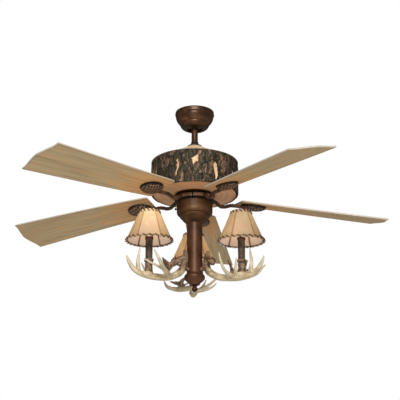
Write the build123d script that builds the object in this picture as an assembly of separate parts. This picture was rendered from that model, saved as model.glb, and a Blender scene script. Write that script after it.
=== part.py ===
from build123d import *
import os
from math import asin, cos, degrees, pi, radians, sin, sqrt

# Ceiling fan with a three-lamp antler light kit, in millimetres.
# The origin is the centre of the ceiling plate, +Z is up, and the fan hangs below it.
# The lamps stand at 88.8, 208.8 and 328.8 degrees about Z, counted from +X.

# ---------------------------------------------------------------- driving dimensions
SWEEP_R = 660.0             # reach of a blade's tip
BLADE_COUNT = 5
BLADE_PHASE = 9.2           # azimuth of the first blade
BLADE_DROOP = 4.3           # the blades slope down outwards
BLADE_PITCH = 12.2          # twist of a blade about its length
BLADE_ROOT_R = 149.0
BLADE_ROOT_HALF = 53.0
BLADE_TIP_R = 645.0         # radius of the pointed tip corners
BLADE_TIP_HALF = 82.0
BLADE_THICK = 6.0
MEDALLION_R = 206.0         # radius of the cast medallion's centre
MEDALLION_SIZE = (43.0, 33.0, 18.0)    # half length, half width, height of the dome

HUB_Z = -300.0              # height where the blade planes cross the fan's axis

ROD_R = 10.65               # half-inch steel pipe
ROD_BORE_R = 8.0
BALL_R = 22.0               # hanger ball
BALL_Z = -38.0

CANOPY_R = 65.0
CANOPY_SCREW_Z = -9.0
OUTLET_SPACING = 88.9       # screw spacing of a ceiling outlet box
SHEET = 1.2                 # wall of the spun metal covers

DRUM_R = 144.0
DRUM_TOP_Z = -186.0
DRUM_BOTTOM_Z = -296.0
BARK_WALL = 9.0

SHAFT_R = 9.0
ROTOR_R = 88.0
BEARING_R = 16.0
BEARING_GAP = 0.05
FLYWHEEL_R = 66.5
FLYWHEEL_Z = (-303.0, -297.0)
FLANGE_BOTTOM_Z = -321.5

SWITCH_R = 58.5
SWITCH_Z = (-365.0, -323.5)
SIDE_SCREW_PHASE = 90.0     # azimuth of the first screw round the switch housing
COLUMN_R = 25.0
COLUMN_Z = (-559.0, -393.2)
FINIAL_R = 8.8
FINIAL_Z = -611.0

LAMP_R = 167.0              # radius of the candle axes
LAMPS = {"back": 88.8, "left": 208.8, "right": 328.8}
CANDLE_R = 11.25
CANDLE_Z = (-549.0, -463.0)
CUP_R = 14.5
CUP_TOP_Z = -534.0
SHADE_Z = (-478.0, -378.0)
SHADE_R = (74.0, 31.0)      # bottom and top
SHADE_WALL = 1.5
WIRE_R = 0.8

# One cast antler, in (out from the fan's axis, sideways, height, radius), the lamp at (LAMP_R, 0).
ANTLER = {
    "beam": [(42, 12, -494, 7), (40, 7, -515, 10), (41, 3, -533, 11), (50, 0, -557, 11.5), (82, 0, -579, 11),
             (118, 0, -587, 11), (176, 0, -587, 10), (214, 0, -577, 8), (235, -1, -554, 6), (244, -2, -533, 1.5)],
    "lug": [(22, 0, -549, 7), (46, 0, -547, 8)],
    "upright": [(200, -6, -576, 8), (203, -5, -547, 5.5), (200, -4, -522, 4), (198, -3, -504, 1.8)],
    "short": [(150, -8, -584, 7), (160, -29, -567, 5), (170, -44, -538, 1.3)],
    "long": [(88, 0, -582, 9), (116, 31, -583, 8.5), (146, 60, -577, 7.5), (178, 88, -560, 5.5), (203, 99, -533, 1.3)],
    "fork": [(146, 60, -577, 6), (160, 37, -562, 4.5), (172, 19, -550, 3.5), (187, 4, -537, 1.3)],
    "stub": [(44, 4, -515, 10), (60, -9, -524, 10), (77, -22, -538, 9)],
    "thorn": [(122, 44, -580, 8), (115, 47, -564, 7.5), (115.5, 35, -550, 5), (116.5, 19, -539, 3), (117.5, 3, -527, 1.3)],
    "inner": [(126, 0, -587, 8), (128, -24, -580, 6), (127, -50, -566, 4.8), (129, -70, -551, 3.6), (132, -88, -532, 1.3)],
    "lower": [(138, 0, -585, 8), (137, -25, -583, 6), (135, -48, -578, 4.8), (134, -64, -570, 3.5), (133, -76, -559, 1.3)],
}

os.makedirs("parts", exist_ok=True)
NODES = {}


def add(name, *solids):
    """Keep a node's solids and write its STEP file."""
    NODES[name] = solids[0] if len(solids) == 1 else Compound(children=list(solids))
    export_step(NODES[name], "parts/" + name + ".step")


# ---------------------------------------------------------------- shared shapes
def turned(points):
    """Revolve a closed outline of (radius, height) points about Z."""
    outline = Polyline([(r, 0, z) for r, z in points], close=True)
    return revolve(make_face(outline), Axis.Z)


def turned_smooth(smooth, rest):
    """Revolve an outline that follows a spline and closes with straight lines."""
    curve = Spline([(r, 0, z) for r, z in smooth])
    tail = Polyline([(r, 0, z) for r, z in [smooth[-1]] + rest + [smooth[0]]])
    return revolve(make_face(curve + tail), Axis.Z)


def rod(radius, low, high, x=0.0, y=0.0):
    """An upright cylinder between two heights."""
    return Pos(x, y, (low + high) / 2) * Cylinder(radius, high - low)


def tube(radius, bore, low, high, x=0.0, y=0.0):
    """An upright pipe between two heights."""
    return rod(radius, low, high, x, y) - rod(bore, low - 1, high + 1, x, y)


def wire(start, end, radius):
    """A straight round bar between two points, with round ends."""
    start, end = Vector(*start), Vector(*end)
    run = end - start
    bar = Solid.make_cylinder(radius, run.length, Plane(origin=start, z_dir=run))
    return bar + Pos(*start) * Sphere(radius) + Pos(*end) * Sphere(radius)


def tapered(stations):
    """A chain of cones and balls through (x, y, z, radius) stations."""
    shape = Pos(*stations[0][:3]) * Sphere(stations[0][3])
    for (*start, r_start), (*end, r_end) in zip(stations, stations[1:]):
        start, end = Vector(*start), Vector(*end)
        run = end - start
        plane = Plane(origin=start, z_dir=run)
        cone = Solid.make_cone(r_start, r_end, run.length, plane) if r_start != r_end \
            else Solid.make_cylinder(r_start, run.length, plane)
        shape = shape + cone + Pos(*end) * Sphere(r_end)
    return shape


def around(count, radius, phase=0.0):
    """Azimuth and (x, y) of places evenly round a circle."""
    for k in range(count):
        azimuth = phase + 360.0 * k / count
        yield azimuth, radius * cos(radians(azimuth)), radius * sin(radians(azimuth))


def screw(shank_r, head_r, length, head):
    """A pan-head screw with its head's top at the origin, pointing down."""
    body = rod(shank_r, -length, 0) + rod(head_r, -head, 0)
    slot = Box(2.2 * head_r, 0.8, 1.0)
    return body - slot


# ---------------------------------------------------------------- ceiling mount
def ceiling_bracket():
    """Steel bracket: a plate for the outlet box, two legs and a seat for the ball, open at the front."""
    plate_t, plate_half, plate_w = 2.5, 56.0, 36.0
    leg_x, leg_w = 31.0, 26.0
    seat_top, seat_bottom, seat_r = -42.0, -54.0, 33.5
    plate = Pos(0, 0, -plate_t / 2) * Box(2 * plate_half, plate_w, plate_t)
    plate -= rod(13, -5, 1)
    for x in (-OUTLET_SPACING / 2, OUTLET_SPACING / 2):
        plate -= rod(2.5, -5, 1, x)
    for s in (-1, 1):
        plate += Pos(s * (plate_half - plate_t / 2), 0, CANOPY_SCREW_Z + 1) * Box(plate_t, 12, 16)
    plate -= Pos(0, 0, CANOPY_SCREW_Z) * Rot(0, 90, 0) * Cylinder(2.05, 150)
    seat = turned([(seat_r, seat_bottom), (seat_r, seat_top), (BALL_R + 1.2, seat_top), (BALL_R - 5.3, seat_bottom)])
    seat = Rot(0, 0, 90) * seat
    seat -= Pos(0, -seat_r, (seat_top + seat_bottom) / 2) * Box(2 * ROD_R + 8, 2 * seat_r, 20)
    leg_low = seat_top - 5
    legs = [Pos(s * leg_x, 0, (leg_low - 1) / 2) * Box(plate_t, leg_w, -leg_low - 1) for s in (-1, 1)]
    return plate + legs[0] + legs[1] + seat


def canopy():
    """Upper bell of the canopy: a straight rim, then a rounded shoulder."""
    low = -43.5
    outer = [(CANOPY_R, -16), (CANOPY_R - 2.5, -17.5), (CANOPY_R - 1.8, -19.5), (61.8, -25), (59.2, -31), (55.6, -37),
             (51.5, -42), (49.8, low)]
    inner = [(r - SHEET, z + 0.5 * SHEET) for r, z in outer]
    lip = [(44.0, low), (44.0, low + SHEET), (inner[-1][0], low + SHEET)]
    bell = turned([(CANOPY_R, -1.0)] + outer + lip + inner[-2::-1] + [(CANOPY_R - SHEET, -1.0)])
    return bell - Pos(0, 0, CANOPY_SCREW_Z) * Rot(0, 90, 0) * Cylinder(2.05, 150)


def canopy_cover():
    """Lower bowl that hides the canopy's screws, with a hole for the rod."""
    outer = [(48.6, -43.7), (48.2, -47.5), (46.2, -52), (42.6, -56.5), (36, -60.8), (29, -62.8), (25.0, -63.2)]
    inner = [(24.0, -62.0), (28.8, -61.6), (35.4, -59.8), (41.7, -55.7), (45.1, -51.5), (47.0, -47.3), (47.4, -43.7)]
    return turned(outer + inner)


def canopy_screws():
    """Two side screws that hold the canopy to the bracket's legs."""
    head = 0.9
    side = screw(2.0, 3.4, 12.0, head)
    return [Rot(0, 0, a) * Pos(CANOPY_R + head, 0, CANOPY_SCREW_Z) * Rot(0, 90, 0) * side for a in (0, 180)]


# ---------------------------------------------------------------- rod and yoke
def hanger_ball():
    """The ball on the rod's top end, with flats and a slot that the bracket's tab would key."""
    ball = Pos(0, 0, BALL_Z) * Sphere(BALL_R)
    ball -= Pos(0, 0, BALL_Z + BALL_R) * Box(60, 60, 9)
    ball -= rod(ROD_R + 0.05, BALL_Z - 30, BALL_Z + 30)
    return ball - Pos(0, BALL_R, BALL_Z) * Box(5, 9, 60) - cross_hole(BALL_Z, 40)


def cross_hole(z, length):
    """The hole for a cross pin through the rod."""
    return Pos(0, 0, z) * Rot(0, 90, 0) * Cylinder(3.1, length)


def downrod():
    """Steel pipe with a cross hole near each end."""
    pipe = tube(ROD_R, ROD_BORE_R, -166, -20)
    return pipe - cross_hole(BALL_Z, 40) - cross_hole(YOKE_PIN_Z, 40)


YOKE_PIN_Z = -150.0
YOKE_R = 16.0


def downrod_pins():
    """The two cross pins: one holds the ball and one holds the yoke."""
    def pin(z, half):
        return Pos(0, 0, z) * Rot(0, 90, 0) * Cylinder(3.0, 2 * half)
    return [pin(BALL_Z, 17.0), pin(YOKE_PIN_Z, YOKE_R + 3)]


def motor_yoke():
    """Cast socket for the rod, with a flange that the housing plate and shaft are fixed to."""
    body = rod(YOKE_R, -190, -128) + rod(34, -190, -185)
    body -= rod(ROD_R + 0.05, -166.2, -100)
    body -= rod(SHAFT_R + 0.02, -200, -166)
    for _, x, y in plate_screw_places():
        body -= rod(2.05, -195, -185.9, x, y)
    return body - cross_hole(YOKE_PIN_Z, 60)


def yoke_cover():
    """Small flared cup over the yoke, sitting on the wooden cover."""
    outer = [(12.2, -112), (12.6, -115), (14.4, -119), (17.8, -122.5), (20.0, -125.2)]
    inner = [(18.6, -125.2), (16.6, -122.9), (13.2, -119.4), (11.3, -115), (11.0, -112)]
    return turned(outer + inner)


# ---------------------------------------------------------------- motor housing
def motor_top_cover():
    """Turned wooden cone over the motor, a little hollow towards the rod."""
    outer = [(20, -125.5), (29, -131.5), (42, -138.8), (60, -147.5), (100, -166.5), (DRUM_R, DRUM_TOP_Z)]
    rest = [(DRUM_R - 14, DRUM_TOP_Z), (98, -174), (58, -155), (36, -145.5), (18.6, -133), (18.6, -125.5)]
    return turned_smooth(outer, rest)


def bark_drum():
    """Round log shell of bark around the motor."""
    return tube(DRUM_R, DRUM_R - BARK_WALL, DRUM_BOTTOM_Z, DRUM_TOP_Z - 0.1)


def bottom_wood_ring():
    """Wooden disc that closes the drum from below, with a hole for the rotor's neck."""
    return tube(DRUM_R - BARK_WALL - 0.1, RING_HOLE_R, -295.5, -289.5)


RING_HOLE_R = 46.0
NECK_R = 40.0


def housing_plate():
    """Steel plate under the yoke that carries the drum, with six vents."""
    plate = tube(DRUM_R - BARK_WALL - 0.1, SHAFT_R + 3, -192.5, -190.2)
    for _, x, y in around(6, 100):
        plate -= rod(17, -195, -188, x, y)
    for _, x, y in plate_screw_places():
        plate -= rod(2.05, -195, -188, x, y)
    return plate


def plate_screw_places():
    """Four places round the yoke's flange."""
    return around(4, 26, 45)


def housing_screws():
    """Four plate screws under the yoke's flange, and three round the switch housing."""
    plate = [Pos(x, y, -190.0) * screw_up(2.0, 4.0, 4.0) for _, x, y in plate_screw_places()]
    side = [Rot(0, 0, a) * Pos(SWITCH_R + 1.6, 0, SWITCH_PLATE_Z) * Rot(0, 90, 0) * screw(1.9, 3.6, 7.0, 1.6)
            for a, _, _ in around(3, 1, SIDE_SCREW_PHASE)]
    return plate + side


def screw_up(shank_r, head_r, length):
    """A screw with its head below the plate, pointing up into the flange."""
    head_low, plate_low = -4.6, -2.5
    return rod(head_r, head_low, plate_low) + rod(shank_r, plate_low, length)


# ---------------------------------------------------------------- motor
def motor_shaft():
    """Hollow steel shaft, fixed to the yoke, that the rotor turns on and the light kit hangs from."""
    return tube(SHAFT_R, 6.0, -334, -167)


def stator_core():
    """Laminated steel stack with eighteen winding slots."""
    core = tube(62, SHAFT_R + 0.02, -256, -226)
    for a, _, _ in around(18, 1):
        core -= Rot(0, 0, a) * Pos(52, 0, -241) * Box(16, 5, 40)
    return core


def stator_windings():
    """Copper coil heads above and below the stack."""
    return [tube(58, 34, low, low + 12) for low in (-268.2, -225.8)]


def rotor_top():
    """Upper aluminium half of the rotor: a cup with its bearing seat and fan slots."""
    shell = turned([(BEARING_R, -196), (30, -196), (ROTOR_R - 4, -204), (ROTOR_R, -209), (ROTOR_R, -240),
                    (ROTOR_R - 4, -240), (ROTOR_R - 4, -211), (30, -201), (24, -206), (BEARING_R, -206)])
    for a, _, _ in around(8, 1):
        shell -= Rot(0, 0, a) * Pos(58, 0, -202) * Box(24, 8, 20)
    return shell


def rotor_bottom():
    """Lower aluminium half of the rotor, with the neck that drives the flywheel."""
    return turned([(ROTOR_R, -240.2), (ROTOR_R, -276), (ROTOR_R - 5, -281), (NECK_R, -284.5), (NECK_R, -296.9),
                   (BEARING_R, -296.9), (BEARING_R, -277), (ROTOR_R - 9, -277), (ROTOR_R - 4, -272),
                   (ROTOR_R - 4, -240.2)])


def rotor_screws():
    """Four long screws through ears that clamp the rotor halves."""
    ear = rod(3.2, -262, -216) + rod(5.5, -219, -216) + rod(5.5, -262, -258)
    return [Pos(x, y, 0) * ear for _, x, y in around(4, ROTOR_R + 5.6, 45)]


def motor_bearings():
    """Two sealed ball bearings, turning with the rotor on the fixed shaft."""
    return [tube(BEARING_R - 0.02, SHAFT_R + BEARING_GAP, low, low + 9) for low in (-205.5, -292)]


def flywheel():
    """Round plate under the rotor that the blade arms are screwed to."""
    plate = rod(FLYWHEEL_R, *FLYWHEEL_Z) - rod(SHAFT_R + 5, -310, -290)
    for _, x, y in arm_screw_places():
        plate -= rod(2.6, -310, -290, x, y)
    return plate


def arm_screw_places():
    """Two screw places for each blade arm's flange."""
    for k in range(BLADE_COUNT):
        for side in (-16, 16):
            azimuth = BLADE_PHASE + 72.0 * k + side
            yield azimuth, 55.0 * cos(radians(azimuth)), 55.0 * sin(radians(azimuth))


def arm_screws():
    """Ten screws, two for each blade arm, sunk into the flanges from below."""
    return [Pos(x, y, -319.0) * Rot(180, 0, 0) * screw(2.5, 4.5, 21.5, 3.0) for _, x, y in arm_screw_places()]


# ---------------------------------------------------------------- blades and their arms
def blade_frame(azimuth):
    """Plane of a blade: X runs out along the blade, Z is square to its surface."""
    return Rot(0, 0, azimuth) * Pos(0, 0, HUB_Z) * Rot(0, BLADE_DROOP, 0) * Rot(BLADE_PITCH, 0, 0)


def blade(azimuth):
    """Flat plywood blade, wider outwards, with pointed corners and a round lobe at the tip."""
    corner = 24.0
    root = BLADE_ROOT_R / cos(radians(BLADE_DROOP))
    tip_low = Spline([(BLADE_TIP_R, -BLADE_TIP_HALF), (BLADE_TIP_R + 1.5, -62), (SWEEP_R - 7, -38), (SWEEP_R, 0),
                      (SWEEP_R - 7, 38), (BLADE_TIP_R + 1.5, 62), (BLADE_TIP_R, BLADE_TIP_HALF)])
    sides = Polyline([(BLADE_TIP_R, BLADE_TIP_HALF), (root + corner, BLADE_ROOT_HALF + 1),
                      (root + 5, BLADE_ROOT_HALF - 7), (root, BLADE_ROOT_HALF - corner),
                      (root, corner - BLADE_ROOT_HALF), (root + 5, 7 - BLADE_ROOT_HALF),
                      (root + corner, -BLADE_ROOT_HALF - 1), (BLADE_TIP_R, -BLADE_TIP_HALF)])
    board = extrude(make_face(tip_low + sides), BLADE_THICK / 2, both=True)
    for x, y in BLADE_SCREWS:
        board -= Pos(x, y, 0) * Cylinder(2.6, 30)
    return blade_frame(azimuth) * board


BLADE_SCREWS = [(MEDALLION_R - 26, 0), (MEDALLION_R + 18, 16), (MEDALLION_R + 18, -16)]


def blade_arm(azimuth):
    """Cast arm: a flange at the hub, a round S-shaped bar, and the oval medallion under the blade."""
    flange = tube(FLYWHEEL_R - 0.2, 40, FLANGE_BOTTOM_Z, FLYWHEEL_Z[0] - 0.1)
    half_angle = 34.5
    for s in (-1, 1):
        side = Rot(0, 0, s * half_angle) * Pos(0, s * 100, -312) * Box(300, 200, 60)
        flange -= side
    flange -= Pos(-100, 0, -312) * Box(200, 300, 60)
    for s in (-16, 16):
        x, y = 55 * cos(radians(s)), 55 * sin(radians(s))
        flange -= rod(2.6, -330, -300, x, y) + rod(4.7, -330, -315.9, x, y)
    path = FilletPolyline([(56, 0, HUB_Z - 12), (72, 0, HUB_Z - 14), (88, 0, HUB_Z - 29), (106, 0, HUB_Z - 28.5),
                           (122, 0, HUB_Z - 22), (184, 0, HUB_Z - 25.5)], radius=11)
    section = Plane(origin=path @ 0, z_dir=path % 0) * Circle(6)
    bar = sweep(section, path)
    a, b, h = MEDALLION_SIZE
    seat = -BLADE_THICK / 2 - 0.1
    dome = Pos(MEDALLION_R, 0, seat) * scale(Sphere(1), by=(a, b, h))
    dome -= Pos(MEDALLION_R, 0, seat + 20) * Box(200, 200, 40)
    board_space = Pos(350, 0, seat + 20) * Box(500, 200, 40)
    for x, y in BLADE_SCREWS:
        dome -= Pos(x, y, seat - 2) * Cylinder(1.9, 8)
    pitched = Pos(0, 0, HUB_Z) * Rot(0, BLADE_DROOP, 0) * Rot(BLADE_PITCH, 0, 0)
    bar -= pitched * board_space
    return Rot(0, 0, azimuth) * (flange + bar + pitched * dome)


def blade_screws():
    """Three round-head screws through each blade into its medallion."""
    one = [Pos(x, y, BLADE_THICK / 2 + 2.0) * screw(1.8, 5.0, 9.5, 1.9) for x, y in BLADE_SCREWS]
    return [blade_frame(BLADE_PHASE + 72.0 * k) * s for k in range(BLADE_COUNT) for s in one]


# ---------------------------------------------------------------- switch housing and column
SWITCH_PLATE_Z = -329.0
KNOB_Z = -344.0
KNOB_TRAVEL = 6.0


def switch_plate():
    """Plate on the shaft's lower end that the switch housing is screwed to."""
    plate = tube(SWITCH_R - SHEET - 0.1, SHAFT_R + 0.02, SWITCH_PLATE_Z - 2.5, SWITCH_PLATE_Z + 2.5)
    plate -= tube(46, 16, SWITCH_PLATE_Z - 3, SWITCH_PLATE_Z + 0.5)
    for a, _, _ in around(3, 1, SIDE_SCREW_PHASE):
        plate -= Rot(0, 0, a) * Pos(SWITCH_R - 5, 0, SWITCH_PLATE_Z) * Rot(0, 90, 0) * Cylinder(2.0, 16)
    return plate


def switch_housing():
    """Round metal cup around the switch and capacitor, with a slot for the reverse knob."""
    low, high = SWITCH_Z
    outer = [(SWITCH_R, high), (SWITCH_R, low + 9), (SWITCH_R - 1.2, low + 4.5), (SWITCH_R - 4.5, low + 0.9),
             (SWITCH_R - 8, low)]
    inner = [(46, low), (46, low + SHEET), (SWITCH_R - 8.3, low + SHEET), (SWITCH_R - 5.2, low + 2),
             (SWITCH_R - 2.4, low + 5), (SWITCH_R - SHEET, low + 9), (SWITCH_R - SHEET, high)]
    cup = turned(outer + inner)
    for a, _, _ in around(3, 1, SIDE_SCREW_PHASE):
        cup -= Rot(0, 0, a) * Pos(SWITCH_R, 0, SWITCH_PLATE_Z) * Rot(0, 90, 0) * Cylinder(2.0, 8)
    slot_h = KNOB_TRAVEL + 7.0
    return cup - Pos(-SWITCH_R, 0, KNOB_Z + KNOB_TRAVEL / 2) * Box(8, 5.0, slot_h)


def housing_cap():
    """Stepped cap under the switch housing that narrows to the column."""
    outer = [(49.5, -365.2), (49.9, -368), (47.8, -372.3), (43, -376.8), (40.6, -378.2), (39.4, -380), (37.2, -383.5),
             (33, -387.5), (28, -391), (26, -393)]
    inner = [(11, -393), (11, -391.4), (25, -391.4), (31.8, -386.2), (35.8, -382.6), (38, -379), (41.6, -375.7),
             (46.3, -371.5), (48.3, -367.7), (48, -365.2)]
    return turned(outer + inner)


def capacitor():
    """Run capacitor, standing in the switch housing."""
    block = Pos(14, 22, -342.5) * Box(38, 18, 22)
    return fillet(block.edges().filter_by(Axis.Z), 3)


def reverse_switch():
    """Body of the slide switch behind the housing's slot."""
    block = Pos(-SWITCH_R + 12, 0, KNOB_Z + KNOB_TRAVEL / 2) * Box(16, 12, 18)
    return block - Pos(-SWITCH_R + 5, 0, KNOB_Z + KNOB_TRAVEL / 2) * Box(8, 5, 16)


def reverse_knob():
    """Thumb knob of the reverse switch, sliding up and down in the slot."""
    stem = Pos(-SWITCH_R - 0.5, 0, KNOB_Z) * Box(12, 3.6, 5)
    grip = Pos(-SWITCH_R - 4.2, 0, KNOB_Z) * Box(4.6, 6, 7)
    return stem + fillet(grip.edges(), 1.2)


def column():
    """Straight metal tube that the antlers are fixed to."""
    return tube(COLUMN_R, COLUMN_R - 1.5, *COLUMN_Z)


def centre_pipe():
    """Threaded pipe down the column, from the motor shaft's plate to the finial."""
    return tube(5.0, 3.4, -603, -336) + tube(8.5, 3.4, -341, -336)


def lower_cap():
    """Turned bowl under the column."""
    smooth = [(26, -559.2), (29.5, -563), (32.8, -569), (32.8, -576), (28.5, -583.5), (21, -589.5), (15.5, -597)]
    shell = turned_smooth(smooth, [(5.2, -597), (5.2, -594), (13, -592), (19, -586), (26.8, -580), (30, -574.5),
                                   (30, -570), (23, -561.5), (5.2, -561.5), (5.2, -559.2)])
    return shell


def ball_finial():
    """Ball nut that closes the pipe's lower end."""
    ball = Pos(0, 0, FINIAL_Z) * Sphere(FINIAL_R) + rod(7.5, -604, -600) + rod(9.5, -600, -597.1)
    return ball - rod(5.05, -603.2, -590)


# ---------------------------------------------------------------- lamps
def antler_arm(azimuth):
    """Cast antler that curls out from the column and carries one candle cup."""
    body = None
    for branch in ANTLER.values():
        limb = tapered(branch)
        body = limb if body is None else body + limb
    bore = CANDLE_R + 0.2
    cup = turned([(0, -590), (13, -590), (12.5, -570), (CUP_R - 1.5, -550), (CUP_R, CUP_TOP_Z), (bore, CUP_TOP_Z),
                  (bore, CANDLE_Z[0] - 0.1), (0, CANDLE_Z[0] - 0.1)])
    body = body + Pos(LAMP_R, 0, 0) * cup - rod(COLUMN_R + 0.05, -700, -400)
    return Rot(0, 0, azimuth) * body


def candle_sleeve(x, y):
    """Tube made to look like a candle of bark, with a thicker lip."""
    low, high = CANDLE_Z
    sleeve = rod(CANDLE_R, low, high) + rod(CANDLE_R + 2.2, high - 5, high) - rod(CANDLE_R - SHEET, low - 1, high + 1)
    return Pos(x, y, 0) * sleeve


def lamp_socket(x, y):
    """Candelabra socket inside the sleeve."""
    low, high = -543.0, CANDLE_Z[1] - 2
    return Pos(x, y, 0) * (rod(CANDLE_R - SHEET - 0.2, high - 30, high) + rod(4, low, high - 30)
                           - rod(6.2, high - 26, high + 1))


def bulb(x, y):
    """Candle-shaped bulb with its screw base."""
    neck = CANDLE_Z[1] - 1
    glass = Spline([(6.0, 0, neck), (9.5, 0, neck + 8), (16.5, 0, neck + 26), (15.5, 0, neck + 42), (8.5, 0, neck + 60),
                    (2.0, 0, neck + 71)])
    close = Polyline([(2.0, 0, neck + 71), (0, 0, neck + 71), (0, 0, neck - 20), (6.0, 0, neck - 20), (6.0, 0, neck)])
    return Pos(x, y, 0) * revolve(make_face(glass + close), Axis.Z)


def shade(x, y):
    """Rawhide cone, open at both ends."""
    low, high = SHADE_Z
    r_low, r_high = SHADE_R
    cone = turned([(r_low, low), (r_high, high), (r_high - SHADE_WALL, high), (r_low - SHADE_WALL, low)])
    return Pos(x, y, 0) * cone


def shade_frame(x, y):
    """Wire frame: a ring under each rim, six ribs, and a cage that clips on the bulb."""
    low, high = SHADE_Z
    slope = (SHADE_R[0] - SHADE_R[1]) / (high - low)
    inset = SHADE_WALL + WIRE_R + 0.9
    top_z, bottom_z = high - 3.0, low + 3.0
    top_r = SHADE_R[1] + slope * (high - top_z) - inset
    bottom_r = SHADE_R[0] - slope * (bottom_z - low) - inset
    cage_r, cage_z = 18.6, high - 52.0
    frame = hoop(top_r, top_z) + hoop(cage_r, cage_z) + hoop(bottom_r, bottom_z)
    for azimuth, _, _ in around(6, 1):
        rib = wire((top_r, 0, top_z), (bottom_r, 0, bottom_z), WIRE_R)
        rib += wire((top_r, 0, top_z), (cage_r, 0, top_z), WIRE_R)
        rib += wire((cage_r, 0, top_z), (cage_r, 0, cage_z), WIRE_R)
        frame += Rot(0, 0, azimuth) * rib
    return Pos(x, y, 0) * frame


def hoop(radius, z):
    """A flat hoop of wire, a little thicker than the ribs that meet it."""
    half = WIRE_R + 0.15
    return Rot(0, 0, 20) * tube(radius + half, radius - half, z - half, z + half)


# ---------------------------------------------------------------- assembly
add("ceiling_bracket", ceiling_bracket())
add("canopy", canopy())
add("canopy_cover", canopy_cover())
add("canopy_screws", *canopy_screws())
add("hanger_ball", hanger_ball())
add("downrod", downrod())
add("downrod_pins", *downrod_pins())
add("yoke_cover", yoke_cover())
add("motor_yoke", motor_yoke())
add("motor_top_cover", motor_top_cover())
add("bark_drum", bark_drum())
add("bottom_wood_ring", bottom_wood_ring())
add("housing_plate", housing_plate())
add("housing_screws", *housing_screws())
add("motor_shaft", motor_shaft())
add("stator_core", stator_core())
add("stator_windings", *stator_windings())
add("rotor_top", rotor_top())
add("rotor_bottom", rotor_bottom())
add("rotor_screws", *rotor_screws())
add("motor_bearings", *motor_bearings())
add("flywheel", flywheel())
for k in range(BLADE_COUNT):
    azimuth = BLADE_PHASE + 360.0 * k / BLADE_COUNT
    add("blade_%d" % (k + 1), blade(azimuth))
    add("blade_arm_%d" % (k + 1), blade_arm(azimuth))
add("blade_screws", *blade_screws())
add("arm_screws", *arm_screws())
add("switch_plate", switch_plate())
add("switch_housing", switch_housing())
add("housing_cap", housing_cap())
add("capacitor", capacitor())
add("reverse_switch", reverse_switch())
add("reverse_knob", reverse_knob())
add("column", column())
add("centre_pipe", centre_pipe())
add("lower_cap", lower_cap())
add("ball_finial", ball_finial())
sockets = []
for side, azimuth in LAMPS.items():
    x, y = LAMP_R * cos(radians(azimuth)), LAMP_R * sin(radians(azimuth))
    add("antler_arm_" + side, antler_arm(azimuth))
    add("candle_sleeve_" + side, candle_sleeve(x, y))
    add("bulb_" + side, bulb(x, y))
    add("shade_" + side, shade(x, y))
    add("shade_frame_" + side, shade_frame(x, y))
    sockets.append(lamp_socket(x, y))
add("lamp_sockets", *sockets)
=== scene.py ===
import logging
from dataclasses import dataclass, field
from enum import Enum
from math import cos, pi, radians, sin, tan

import bmesh
import bpy
import numpy as np
from mathutils import Matrix, Vector, noise


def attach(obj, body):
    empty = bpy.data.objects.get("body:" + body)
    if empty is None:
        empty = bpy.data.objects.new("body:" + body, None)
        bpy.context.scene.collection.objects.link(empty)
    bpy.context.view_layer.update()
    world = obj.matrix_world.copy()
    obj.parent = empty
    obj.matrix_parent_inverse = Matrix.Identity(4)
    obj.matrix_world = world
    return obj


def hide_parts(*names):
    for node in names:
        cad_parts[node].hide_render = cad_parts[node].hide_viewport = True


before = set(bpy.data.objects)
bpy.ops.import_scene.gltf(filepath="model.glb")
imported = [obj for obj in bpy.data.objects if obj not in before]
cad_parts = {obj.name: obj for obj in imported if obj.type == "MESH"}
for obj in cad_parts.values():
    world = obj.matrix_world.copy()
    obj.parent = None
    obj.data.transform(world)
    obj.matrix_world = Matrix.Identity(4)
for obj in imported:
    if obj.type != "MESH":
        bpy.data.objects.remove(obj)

# The looks of a lodge ceiling fan: a bark drum, five limed oak blades on cast arms, and three rawhide lamps
# on cast antlers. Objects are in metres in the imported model's frame, with the ceiling plate at the origin.
# The classes hold the fan's sizes in millimetres and degrees; azimuths are counted from X towards Y.

log = logging.getLogger("lodge_fan")

MM = 0.001
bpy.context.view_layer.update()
HUB_Z = -0.300              # height where the blade planes cross the fan's axis
BLADE_AZIMUTHS = [9.2 + 72.0 * k for k in range(5)]
BLADE_BENDS = [(5.0, 0.0), (0.0, 0.0), (-9.5, 0.0), (5.0, 0.0), (-2.5, 1.5)]    # lift in mm, twist in degrees
LAMPS = {"back": 88.8, "left": 208.8, "right": 328.8}
LAMP_R = 0.167              # distance of the candle axes from the fan's axis

Triple = tuple[float, float, float]
Colour = Triple                             # red, green and blue in linear light
Stops = tuple[tuple[float, Colour], ...]    # places along a ramp and their colours
Socket = bpy.types.NodeSocket


class Body(Enum):
    """The moving bodies that pieces ride on."""

    CEILING = "ceiling_mount"
    HANGING = "hanging_fan"
    ROTOR = "rotor"
    SHADE_BACK = "shade_back"
    SHADE_LEFT = "shade_left"
    SHADE_RIGHT = "shade_right"


def linear(red: int, green: int, blue: int) -> Colour:
    """Turn a screen colour, 0 to 255 each, into the linear one that the shaders use."""
    return tuple(c / 12.92 if c <= 0.04045 else ((c + 0.055) / 1.055) ** 2.4
                 for c in (red / 255, green / 255, blue / 255))


def rgba(colour: Colour) -> tuple[float, float, float, float]:
    """The colour with full opacity."""
    return (*colour, 1.0)


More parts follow.
